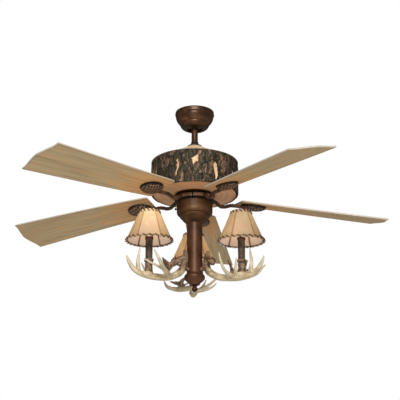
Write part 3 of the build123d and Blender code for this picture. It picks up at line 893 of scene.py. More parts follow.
def piece(name: str, shape: Shape, finishes: Finish | list[Finish], body: Body,
          place: Matrix | None = None, crease: float = 40.0) -> bpy.types.Object:
    """Make a mesh object, dress it and let it ride on its body.

    Args:
        name: The piece's name.
        shape: Its mesh data.
        finishes: Its finish, or several in the order that the shape's faces name them.
        body: The body it rides on.
        place: Where its own axes stand.
        crease: Angle in degrees above which an edge is sharp.

    Returns:
        The object.
    """
    mesh = bpy.data.meshes.new(name)
    stood = shape if place is None else shape.placed(place)
    mesh.from_pydata([tuple(p) for p in stood.points], [], shape.faces)
    for mark, values in shape.marks.items():
        kind, part = ("FLOAT_VECTOR", "vector") if values.ndim == 2 else ("FLOAT", "value")
        mesh.attributes.new(mark, kind, "POINT").data.foreach_set(part, values.astype(np.float32).ravel())
    for finish in finishes if isinstance(finishes, list) else [finishes]:
        mesh.materials.append(finish.material())
    if shape.finishes:
        mesh.polygons.foreach_set("material_index", shape.finishes)
    tidy = bmesh.new()
    tidy.from_mesh(mesh)
    bmesh.ops.recalc_face_normals(tidy, faces=tidy.faces)
    tidy.to_mesh(mesh)
    tidy.free()
    mesh.polygons.foreach_set("use_smooth", [True] * len(mesh.polygons))
    mesh.set_sharp_from_angle(angle=radians(crease))
    made = bpy.data.objects.new(name, mesh)
    bpy.context.scene.collection.objects.link(made)
    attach(made, body.value)
    log.info("made %s: %d points on %s", name, len(mesh.vertices), body.value)
    return made


def dress(finish: Finish, *nodes: str) -> None:
    """Give CAD nodes a finish.

    Args:
        finish: The finish.
        *nodes: Names of the nodes.
    """
    for name in nodes:
        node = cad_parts[name]
        node.data.materials.clear()
        node.data.materials.append(finish.material())
        for face in node.data.polygons:
            face.material_index = 0
        log.info("dressed %s with %s", name, finish.name)


def clouds(points: np.ndarray, scale: float, octaves: int = 3, seed: float = 0.0) -> np.ndarray:
    """Cloudy values at points, about -1 to 1, with so many clouds per unit; the seed picks a pattern."""
    shift = Vector((seed, seed * 1.7, seed * 0.3))
    return np.array([noise.fractal(Vector(p) * scale + shift, 1.0, 2.0, octaves) for p in points])


# ---------------------------------------------------------------- ceiling mount
@dataclass
class CeilingMount:
    """Canopy against the ceiling, with the steel bracket inside it."""

    segments: int = 128

    def canopy(self) -> None:
        """Spun bell with a banded rim and a groove under it."""
        band = [(63.8, -1.0), (64.6, -1.6), (65.0, -5), (65.0, -11), (64.6, -14.6), (63.4, -16.6),
                (62.3, -17.6)]
        outer = [(62.3, -17.7), (62.9, -18.7), (63.1, -20.5), (62.4, -24), (60.4, -29.4), (57.4, -34.8),
                 (53.8, -39.6), (51.4, -42.2), (50.0, -43.2), (49.0, -43.5)]
        mouth = [(44.0, -43.5), (44.0, -42.3)]
        inner = [(48.4, -42.3), (52.6, -38.5), (57.8, -30), (61.4, -20), (62.4, -12), (62.6, -1.0)]
        bell = turned(outline_mm(band, outer, mouth, inner), self.segments)
        made = piece("canopy_bell", bell, CANOPY_BRONZE, Body.CEILING)
        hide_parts("canopy")

    def cover(self) -> None:
        """Low bowl under the bell, open for the rod."""
        outer = [(48.5, -43.8), (48.9, -45.2), (48.3, -48.4), (46.2, -52.4), (42.4, -56.8), (36, -60.6),
                 (30, -62.4), (26.4, -63.0), (25.0, -62.9)]
        inner = [(24.2, -61.8), (29.6, -61.2), (35.4, -59.5), (41.6, -55.5), (45.2, -51), (47.0, -47),
                 (47.4, -43.8)]
        bowl = turned(outline_mm(outer, inner), self.segments)
        made = piece("canopy_bowl", bowl, BOWL_BRONZE, Body.CEILING)
        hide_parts("canopy_cover")

    def build(self) -> None:
        """Make the canopy and dress the bracket and screws."""
        self.canopy()
        self.cover()
        dress(ZINC, "ceiling_bracket")
        dress(BRONZE, "canopy_screws")


# ---------------------------------------------------------------- rod and motor housing
@dataclass
class BareSpot:
    """A place where the bark has fallen off, as stations down its length."""

    azimuths: tuple[float, ...]
    heights: tuple[float, ...]
    half_widths: tuple[float, ...]

    def cover(self, azimuth: np.ndarray, height: np.ndarray) -> np.ndarray:
        """How far inside the spot each point is, above zero inside.

        Args:
            azimuth: Azimuths in degrees.
            height: Heights in millimetres.

        Returns:
            One value per point, 1 on the spine and 0 at the edge.
        """
        order = np.argsort(self.heights)
        z = np.array(self.heights)[order]
        middle = np.interp(height, z, np.array(self.azimuths)[order])
        half = np.interp(height, z, np.array(self.half_widths)[order])
        away = np.abs((azimuth - middle + 180) % 360 - 180)
        inside = (height > z[0]) & (height < z[-1])
        return np.where(inside, 1 - away / np.maximum(half, 0.05), -1.0)


@dataclass
class BarkDrum:
    """Log shell round the motor, with furrowed bark and bare spots."""

    radius: float = 142.3                               # of the bark's middle
    outside: float = 144.0                              # of the plain log
    wall: float = 8.7
    low: float = -296.0
    high: float = -186.2
    around: int = 960                                   # points round it
    up: int = 116                                       # rows of points
    lip: float = 4.4                                    # width of the ring at each end
    # The painted side shade is nil at this azimuth and grows away from it.
    bright: float = 272.0                               # azimuth where the bark is lightest
    wide_plates: Triple = (0.066, 0.27, 0.2)            # plates per millimetre, squash, furrow width
    fine_plates: Triple = (0.19, 0.34, 0.3)
    heights: tuple[float, ...] = (1.3, 0.6, 0.8, 0.7)   # of wide and fine plates, their spread, fibre
    bare_depth: float = 2.4
    rim_round: tuple[float, float] = (2.6, 4.0)         # how deep and how far the rims are rounded
    spots: tuple[BareSpot, ...] = (
        BareSpot((271.9, 270.2, 267.9, 267.8, 266.6, 265.9, 265.4),
                 (-205, -211, -218, -226, -229, -234, -239), (0.4, 2.3, 4.4, 4.0, 2.6, 1.6, 0.3)),
        BareSpot((270.6, 270.6, 270.9), (-221, -226, -231), (1.4, 1.2, 0.2)),
        BareSpot((244.8, 244.0, 246.2, 245.0, 245.2, 242.9, 242.7, 241.7),
                 (-216, -224, -230, -237, -248, -259, -270, -275), (0.5, 1.2, 1.2, 1.8, 1.2, 0.9, 0.9, 0.3)),
        BareSpot((294.6, 294.8, 295.2, 296.0, 296.4, 295.8, 295.4),
                 (-226, -234, -247, -260, -271, -281, -285), (0.8, 3.0, 3.1, 2.5, 2.0, 0.9, 0.2)),
        BareSpot((326.4, 326.5, 327.0), (-235, -242, -251), (0.5, 1.8, 0.5)),
        BareSpot((206.0, 207.0, 208.0), (-226, -236, -247), (0.4, 1.5, 0.4)),
        BareSpot((12, 14, 13), (-206, -228, -252), (0.8, 3.0, 0.8)),
        BareSpot((47, 45, 48, 47), (-224, -240, -258, -276), (0.6, 1.8, 1.4, 0.5)),
        BareSpot((88, 90, 89), (-204, -220, -240), (1.6, 4.0, 1.0)),
        BareSpot((121, 119, 121), (-232, -256, -278), (0.7, 3.2, 0.8)),
        BareSpot((158, 160, 158, 159), (-212, -226, -242, -262), (0.5, 1.6, 1.2, 0.5)),
    )

    def plates(self, points: np.ndarray, scale: float, squash: float,
               joint: float) -> tuple[np.ndarray, np.ndarray]:
        """Break the surface into tall plates.

        Args:
            points: Points in millimetres.
            scale: Plates per millimetre round the drum.
            squash: Factor along the height, below 1 for tall plates.
            joint: Width of the furrows, as a share of a plate.

        Returns:
            How deep in a furrow each point is, and its plate's own number from 0 to 1.
        """
        wander = clouds(points, 0.03, 3, 11.0 + 90 * scale)
        drift = Vector((1.1, 0.8, 0.15))
        gap, tint = np.empty(len(points)), np.empty(len(points))
        for k, p in enumerate(points * np.array([1, 1, squash]) * scale):
            near, seats = noise.voronoi(Vector(p) + drift * wander[k])
            gap[k] = near[1] - near[0]
            tint[k] = noise.cell(seats[0] * 7.0)
        gap = np.clip(1 - gap / joint, 0, 1)
        return gap * gap * (3 - 2 * gap), tint

    def bark_relief(self, azimuth: np.ndarray, height: np.ndarray) -> tuple[np.ndarray, ...]:
        """Work out the bark over the drum.

        Args:
            azimuth: Azimuths in degrees.
            height: Heights in millimetres.

        Returns:
            Height of the bark in millimetres, how furrowed each point is with a painted shadow ring round
            each bare spot laid in, how bare it is, and its plate's tint.
        """
        points = round_axis(self.radius, np.radians(azimuth), height)
        wide, tint = self.plates(points, *self.wide_plates)
        fine, fleck = self.plates(points, *self.fine_plates)
        furrow = np.maximum(wide, 0.42 * fine)
        fibre = clouds(points * np.array([1, 1, 0.3]), 0.22, 3, 3.0)
        wide_high, fine_high, spread, fibre_high = self.heights
        rough = wide_high * (1 - wide) + fine_high * (1 - fine) + spread * (tint - 0.5) + fibre_high * fibre
        ragged = 0.42 * clouds(points, 0.2, 3, 21.0)
        bare = np.full(len(points), -1.0)
        for spot in self.spots:
            bare = np.maximum(bare, spot.cover(azimuth, height))
        depth = bare + ragged
        # Painted shadow: a dark ring just outside each bare spot's edge, laid into the furrow mark.
        rim = np.clip(1 - np.abs(depth + 0.22) / 0.3, 0, 1) * (bare > -0.9)
        bare = np.clip(depth / 0.16 - 0.4, 0, 1)
        rough = rough * (1 - bare) - self.bare_depth * bare
        return rough, np.maximum(furrow, rim) * (1 - bare), bare, 0.62 * tint + 0.38 * fleck

    def side_shade(self, azimuth: np.ndarray, edge: np.ndarray) -> np.ndarray:
        """How much painted shade darkens the bark away from its lit front, most on the right.

        Args:
            azimuth: Azimuths in degrees.
            edge: An uneven value round the drum that roughens it.

        Returns:
            One value per point, 0 where it is lightest.
        """
        away = np.radians(azimuth - self.bright)
        side = np.clip(1.3 * np.sin(away), 0, 1)
        side_shade = (1.65 + 1.2 * side) * (1 - np.cos(away))
        return np.clip(side_shade + 0.15 * edge[None, :], 0, 0.5 + 0.3 * side)

    def build(self) -> None:
        """Make the drum as one closed shell."""
        heights = np.linspace(self.low, self.high, self.up)
        azimuth = np.linspace(0, 360, self.around, endpoint=False)
        grid_a, grid_z = np.meshgrid(azimuth, heights)
        rough, furrow, bare, tint = (v.reshape(grid_a.shape)
                                     for v in self.bark_relief(grid_a.ravel(), grid_z.ravel()))
        rim = np.minimum(grid_z - self.low, self.high - grid_z)
        deep, far = self.rim_round
        radii = self.radius + rough - deep * np.clip(1 - rim / far, 0, 1) ** 2
        edge = clouds(round_axis(1.0, np.radians(azimuth), 0.0), 14.0, 3)
        inner, lip = (np.full(self.around, self.outside - step) for step in (self.wall, self.lip))
        radii = np.vstack([inner, lip, radii, lip, inner])
        low, lowest, highest, high = (np.full(self.around, z)
                                      for z in (self.low + 1, self.low, self.high, self.high - 0.5))
        z = np.vstack([low, lowest, grid_z, highest, high])
        z[1:8] = np.maximum(z[1:8] + 0.9 * edge, self.low)
        shell = skin(MM * round_axis(radii, np.radians(azimuth), z), loop=True)
        clean = np.zeros((2, self.around))
        # The end rows, which make the rim faces and the inside wall, take 0.8 of the furrow colour: painted
        # shade on the inside wall, darker rim faces.
        dark = clean + 0.8
        for mark, values, ends in (("furrow", furrow, dark), ("bare", bare, clean), ("tint", tint, clean),
                                   ("side_shade", self.side_shade(grid_a, edge), clean)):
            shell.marks[mark] = np.vstack([ends, values, ends]).ravel()
        made = piece("bark_shell", shell, BARK, Body.HANGING, crease=80)
        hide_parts("bark_drum")


@dataclass
class MotorHousing:
    """Rod, yoke cover, wooden cone and disc, and the hidden motor."""

    drum: BarkDrum = field(default_factory=BarkDrum)
    segments: int = 128
    cup_segments: int = 72

    def cone(self) -> None:
        """Peeled wooden cone, nearly flat under the cup and steeper at the drum."""
        outer = [(19.0, -125.6), (23.4, -126.2), (30, -129.6), (42, -136.4), (60, -146.4), (80, -156.8),
                 (100, -166.4), (124, -177.6), (140, -184.6), (144.0, -186.0)]
        foot = [(130.0, -186.0)]
        inner = [(98, -174), (58, -155), (36, -145.5), (18.6, -133)]
        cone = turned(outline_mm(outer, foot, inner, [(18.4, -126.4)]), self.segments)
        made = piece("turned_cone", cone, CONE_WOOD, Body.HANGING)
        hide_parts("motor_top_cover")

    def yoke_cover(self) -> None:
        """Flared cup where the rod meets the cone."""
        outer = [(11.0, -107.5), (11.9, -107.8), (12.2, -110.8), (13.8, -114.8), (17.8, -118.6),
                 (22.4, -121.6), (25.0, -123.2)]
        skirt = [(25.0, -124.8), (21.6, -125.2), (17.6, -125.2)]
        inner = [(16.2, -123.6), (14.0, -119.4), (12.6, -115), (11.2, -110)]
        cup = turned(outline_mm(outer, skirt, inner), self.cup_segments)
        made = piece("yoke_cup", cup, CAST_BRONZE, Body.HANGING)
        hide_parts("yoke_cover")

    def build(self) -> None:
        """Make the housing and dress what is inside it."""
        self.drum.build()
        self.cone()
        self.yoke_cover()
        dress(BRONZE, "downrod", "hanger_ball")
        dress(GROUND_STEEL, "downrod_pins", "motor_shaft", "motor_bearings")
        dress(DISC_WOOD, "bottom_wood_ring")
        dress(BRONZE, "housing_screws")
        dress(ZINC, "motor_yoke", "housing_plate", "rotor_screws")
        dress(LAMINATION, "stator_core")
        dress(COPPER, "stator_windings")
        dress(CAST_ALUMINIUM, "rotor_top", "rotor_bottom")


# ---------------------------------------------------------------- blades and arms
@dataclass
class Blade:
    """Flat board with pointed corners and a lobe at its tip."""

    number: int
    azimuth: float
    droop: float = 4.3
    pitch: float = 12.2
    root: float = 149.4
    root_half: float = 56.0
    corner: float = 8.0
    tip: float = 645.0
    tip_half: float = 82.0
    lobe: float = 660.0
    above: float = 3.0
    below: float = 1.9
    round_off: float = 0.9
    margin: float = 3.0
    bend_from: float = 230.0
    bend_power: float = 1.4
    lift: float = 0.0
    twist: float = 0.0

    def place(self) -> Matrix:
        """The board's own axes: X out along it and Z square to its face."""
        return (Matrix.Rotation(radians(self.azimuth), 4, "Z") @ Matrix.Translation((0, 0, HUB_Z))
                @ Matrix.Rotation(radians(self.droop), 4, "Y") @ Matrix.Rotation(radians(self.pitch), 4, "X"))

    def outline(self) -> np.ndarray:
        """The board's edge line, in millimetres, the long way round.

        Returns:
            Points of (along, across).
        """
        lobe = [(self.tip, self.tip_half), (self.tip + 1.5, 62), (self.lobe - 7, 38)]
        tip = smooth_line([(x, -y) for x, y in lobe] + [(self.lobe, 0)] + lobe[::-1], 6)
        half, low = self.root_half, self.root
        root = smooth_line([(low + self.corner, half + 0.4), (low + 1.6, half - 2.4),
                            (low, half - self.corner)], 5)
        mirror = root[::-1] * [1, -1]
        return np.vstack([tip, np.linspace(tip[-1], root[0], 12)[1:-1], root,
                          np.linspace(root[-1], mirror[0], 6)[1:-1], mirror,
                          np.linspace(mirror[-1], tip[0], 12)[1:-1]])

    def warped(self, points: np.ndarray) -> np.ndarray:
        """Bend the board a little beyond its arm, as seasoned wood does.

        Args:
            points: Points in the board's axes, in millimetres.

        Returns:
            The bent points.
        """
        share = (points[:, 0] - self.bend_from) / (self.tip - self.bend_from)
        share = np.clip(share, 0, None) ** self.bend_power
        rise = share * (self.lift + points[:, 1] * tan(radians(self.twist)))
        droop, pitch = radians(self.droop), radians(self.pitch)
        upright = np.array([-sin(droop), cos(droop) * sin(pitch), cos(droop) * cos(pitch)])
        return points + rise[:, None] * upright

    def build(self) -> None:
        """Make the board with eased edges, its faces veneered and its edge banded."""
        line = self.outline()
        along = np.roll(line, -1, 0) - line
        square = np.stack([-along[:, 1], along[:, 0]], axis=1)
        square /= np.linalg.norm(square, axis=1)[:, None]
        before = np.roll(square, 1, 0)
        inward = (square + before) / (1 + (square * before).sum(1))[:, None]
        rows = []
        low, top, e, m = -self.below, self.above, self.round_off, self.margin
        steps = ((m, low), (e, low), (0.25 * e, low + 0.3 * e), (0.0, low + e), (0.0, top - e),
                 (0.25 * e, top - 0.3 * e), (e, top), (m, top))
        for depth, z in steps:
            ring = line + inward * depth
            rows.append(self.warped(np.column_stack([ring, np.full(len(ring), z)])))
        board = skin(MM * np.array(rows), caps=True)
        veneered = [row in (0, len(steps) - 2) for row in range(len(steps) - 1)]
        board.finishes = [0 if face else 1 for face in veneered for _ in line] + [0, 0]
        # The margin mark places the painted shadow line where the eased edge begins.
        board.marks = {"board": board.points.copy(),
                       "margin": np.repeat([0.0, 1.0, 0.0, 0.0, 0.0, 0.0, 1.0, 0.0], len(line))}
        made = piece(f"oak_blade_{self.number}", board, [OAK, OAK_EDGE], Body.ROTOR,
                     self.place())
        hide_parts(f"blade_{self.number}")


@dataclass
class BladeArm:
    """Cast arm: hub flange, twig-like bar, and a pine-cone medallion under the blade."""

    number: int
    azimuth: float
    blade: Blade
    half_angle: float = 34.6
    medallion_at: float = 201.5
    half_length: float = 43.0
    half_width: float = 33.0
    dome: float = 18.2
    sink: float = 2.8                       # how deep the scales stand in the dome
    bar: float = 6.0
    flange_steps: int = 25
    scallops: int = 10
    scallop_depth: float = 0.045
    scale_step: float = 6.8                 # between rows of scales along the medallion
    scale_pitch: float = 13.6               # between scales of one row
    scale_reach: float = 9.2
    scale_rows: int = 8                     # rows on each side of the middle one
    scale_heights: tuple[float, float] = (3.4, 0.7)     # at the tip, and of the crown across it
    swirl: float = 24.0

    def flange(self) -> Shape:
        """Sector of the hub ring with eased edges.

        Returns:
            The flange in the arm's axes.
        """
        section = outline_mm([(66.3, -306.6), (66.3, -317.4)], [(65.5, -319.8), (62.8, -321.5)],
                             [(41.5, -321.5), (40.2, -320.5)], [(40.0, -318.5), (40.0, -305.5)],
                             [(41.0, -303.3), (63.8, -303.2)])
        centre = section.mean(0)
        rows = []
        for k, a in enumerate(np.linspace(-self.half_angle, self.half_angle, self.flange_steps)):
            inset = 0.965 if k in (0, self.flange_steps - 1) else 1.0
            s = centre + (section - centre) * inset
            rows.append(round_axis(s[:, 0], radians(a), s[:, 1]))
        sector = skin(np.array(rows), caps=True)
        # Painted light on the outer face in the lightened hub bronze; painted shade on every other face in
        # near-black bronze.
        lit_face_then_shade = [1] + [2] * (len(section) - 1)
        sector.finishes = lit_face_then_shade * (len(rows) - 1) + [2, 2]
        return sector

    def twig(self) -> Shape:
        """S-shaped bar from the hub to the medallion, lumpy like a cast twig.

        Returns:
            The bar in the arm's axes.
        """
        path = smooth_line([(56, 0, -312), (68, 0, -313.5), (77, 0, -320), (87, 0, -327.6), (100, 0, -328.6),
                            (112, 0, -325.2), (124, 0, -322.4), (150, 0, -323.8), (186, 0, -326.6)], 8)
        lumps = 0.35 * clouds(path, 0.11, 2, 5.0 + self.number)
        return bar_along(MM * path, MM * (self.bar + lumps), 20)

    def cone_scales(self, x: np.ndarray, y: np.ndarray) -> tuple[np.ndarray, np.ndarray]:
        """Relief of overlapping pine-cone scales that point outwards.

        Args:
            x: Places along the medallion in millimetres.
            y: Places across it.

        Returns:
            Height of the relief, and how dark each point is painted: 0 on the lit scale tips, rising into the
            joints, as patina and painted shade.
        """
        step, pitch, reach = self.scale_step, self.scale_pitch, self.scale_reach
        tip_high, crown = self.scale_heights
        swirl = radians(self.swirl)
        x, y = x * cos(swirl) + y * sin(swirl), y * cos(swirl) - x * sin(swirl)
        height, joint = np.zeros_like(x), np.ones_like(x)
        for row in range(self.scale_rows, -self.scale_rows - 1, -1):
            cx = row * step
            shift = 0.5 * (row % 2)
            cy = (np.round(y / pitch - shift) + shift) * pitch
            along, across = (x - cx) / (1.5 * reach), np.abs(y - cy) / (0.78 * reach)
            away = np.abs(along) ** 1.5 + across ** 1.4
            on = (away < 1) & (x - cx > -reach)
            tip = np.clip(0.5 + 0.62 * along, 0, 1)
            height = np.where(on, tip_high * tip + crown * (1 - across ** 2), height)
            # Painted highlight on the rim of each scale's tip; towards its base, under the tip of the scale
            # nearer the hub, the scale is painted darker as shade.
            lit = (away > 0.6) & (along > 0.08)
            joint = np.where(on, np.where(lit, 0.0, 0.14 + 0.8 * (1 - tip)), joint)
        return height, joint

    def medallion(self) -> Shape:
        """Oval dome of pine-cone scales with a plain edge.

        Returns:
            The medallion in the blade's own axes.
        """
        rings, steps = 60, 200
        t = np.linspace(0, 1, rings)[:, None]
        turn = np.linspace(0, 2 * pi, steps, endpoint=False)[None, :]
        scallop = 1 - self.scallop_depth * np.abs(np.sin(self.scallops * turn)) * t ** 3
        x = t * self.half_length * np.cos(turn) * scallop
        y = t * self.half_width * np.sin(turn) * scallop
        depth = self.dome * np.sqrt(np.clip(1 - t ** 2 * 0.95, 0, 1)) + 0 * turn
        height, joint = self.cone_scales(x, y)
        fade = np.clip((1.0 - t) / 0.07, 0, 1)
        depth = depth - self.sink + height * fade
        seat = -self.blade.below - 0.1
        top = np.stack([self.medallion_at + x, y, seat - np.maximum(depth, 0.1)], axis=-1)
        edge = top[-1:].copy()
        edge[..., 2] = seat
        plate = skin(MM * np.vstack([top, edge]), caps=True)
        rub = np.vstack([joint * fade + 0.5 * (1 - fade), joint[-1:] * 0 + 0.7]).ravel()
        plate.marks = {"joint": rub}
        return plate

    def build(self) -> None:
        """Make the arm in its own axes and the medallion in the blade's."""
        place = Matrix.Rotation(radians(self.azimuth), 4, "Z")
        body = Shape.joined([self.flange(), self.twig()])
        arm = piece(f"cast_arm_{self.number}", body, [CAST_BRONZE, LIT_HUB_BRONZE, SHADOW_BRONZE], Body.ROTOR,
                    place)
        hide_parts(f"blade_arm_{self.number}")
        made = piece(f"cone_medallion_{self.number}", self.medallion(), MEDALLION, Body.ROTOR,
                     self.blade.place(), crease=60)
        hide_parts(f"blade_arm_{self.number}")


# ---------------------------------------------------------------- switch housing and column
@dataclass
class LampStem:
    """Switch housing, column and the turned parts under it."""

    segments: int = 112
    ball_r: float = 8.8
    ball_z: float = -611.0
    ball_segments: int = 64

    def cap(self) -> None:
        """Stepped cap between the switch housing and the column."""
        step = [(49.0, -365.2), (50.0, -365.6), (50.2, -367.4), (49.2, -370.2), (46.8, -373.6),
                (43.4, -376.4), (40.9, -377.9)]
        dish = [(40.6, -378.1), (40.6, -379.0), (39.6, -381.0), (36.6, -384.8), (32.4, -388.6),
                (28.2, -391.4), (26.0, -393.0)]
        mouth = [(11, -393.0), (11, -391.8)]
        inner = [(25, -391.6), (31, -387.4), (36, -382.8), (40, -377), (46, -371.8), (48, -368), (48, -365.2)]
        cap = turned(outline_mm(step, dish, mouth, inner), self.segments)
        made = piece("stem_cap", cap, BRONZE, Body.HANGING)
        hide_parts("housing_cap")

    def bowl(self) -> None:
        """Turned bowl and neck under the column."""
        top = [(5.4, -559.3), (25.4, -559.3), (26.4, -560.2)]
        outer = [(26.2, -561.4), (28.2, -562.8), (31.2, -565.8), (33.0, -569.8), (33.4, -573.6),
                 (32.2, -577.8), (29.0, -582.4), (24.2, -586.6), (20.2, -589.8), (17.6, -593.2),
                 (16.2, -597.0)]
        inner = [(5.2, -597.0), (5.2, -594), (5.2, -575)]
        bowl = turned(outline_mm(top, outer, inner), self.segments)
        made = piece("stem_bowl", bowl, RED_BRONZE, Body.HANGING)
        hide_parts("lower_cap")

    def finial(self) -> None:
        """Ball nut with a small collar."""
        ball = [(self.ball_r * sin(a), self.ball_z + self.ball_r * cos(a))
                for a in np.linspace(0.78, pi - 0.02, 22)]
        collar = [(5.1, -597.2), (9.2, -597.2), (9.6, -598.4), (9.2, -599.7), (7.4, -600.6), (6.6, -602.6)]
        nut = turned(outline_mm(collar, ball, per_span=3), self.ball_segments, closed=False)
        made = piece("finial_ball", nut, FINIAL_BRONZE, Body.HANGING)
        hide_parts("ball_finial")

    def build(self) -> None:
        """Make the turned parts and dress the rest."""
        self.cap()
        self.bowl()
        self.finial()
        dress(BRONZE, "switch_housing")
        dress(RED_BRONZE, "column")
        dress(ZINC, "switch_plate", "centre_pipe")
        # Painted shade: the flywheel is near black to darken the gap between the wooden disc and the hub.
        dress(SHADOW_BRONZE, "flywheel")
        dress(CAST_BRONZE, "arm_screws", "blade_screws")
        dress(DARK_PLASTIC, "capacitor", "reverse_switch", "reverse_knob")
        dress(SOCKET_PLASTIC, "lamp_sockets")


# ---------------------------------------------------------------- antlers
class Tone(Enum):
    """How a branch of the antler is coloured along its length."""

    BEAM = "brown at the column, ivory further out"
    TINE = "ivory"
    BURR = "brown"


Station = tuple[float, float, float, float]


@dataclass
class Branch:
    """One branch of the antler: stations of out, sideways, height and radius."""

    stations: tuple[Station, ...]
    tone: Tone = Tone.TINE
    fade_from: float = 1.35         # burr share of a beam at its start, which shows as 1 while above it
    fade_over: float = 95.0         # length over which that share falls by 1
    full_tone: float = 8.5          # radius from which a branch has no ivory

    def line(self) -> np.ndarray:
        """The branch's smooth middle line with its radius, in millimetres."""
        return smooth_line(self.stations, 10)

    def bar(self) -> Shape:
        """The branch as a round bar, in millimetres."""
        return bar_along(self.line()[:, :3], self.line()[:, 3], 20)

    def guide(self, start: float) -> np.ndarray:
        """What the skin round the branch is shaped and coloured by, at each point of its middle line.

        Args:
            start: Length that the branch starts at, so that no two share their grooves.

        Returns:
            Columns of place, side and up, three each, then radius, length, and burr and ivory shares.
        """
        line = self.line()
        _, side, up = carried(line[:, :3])
        length = np.concatenate([[0], np.cumsum(np.linalg.norm(np.diff(line[:, :3], axis=0), axis=1))])
        root = np.full(len(line), float(self.tone is Tone.BURR))
        if self.tone is Tone.BEAM:
            root = np.clip(self.fade_from - length / self.fade_over, 0, 1)
        tip = np.zeros(len(line))
        if self.tone is not Tone.BURR:
            tip = np.clip(1 - line[:, 3] / self.full_tone, 0, 1)
        return np.column_stack([line[:, :3], side, up, line[:, 3], length + start, root, tip])


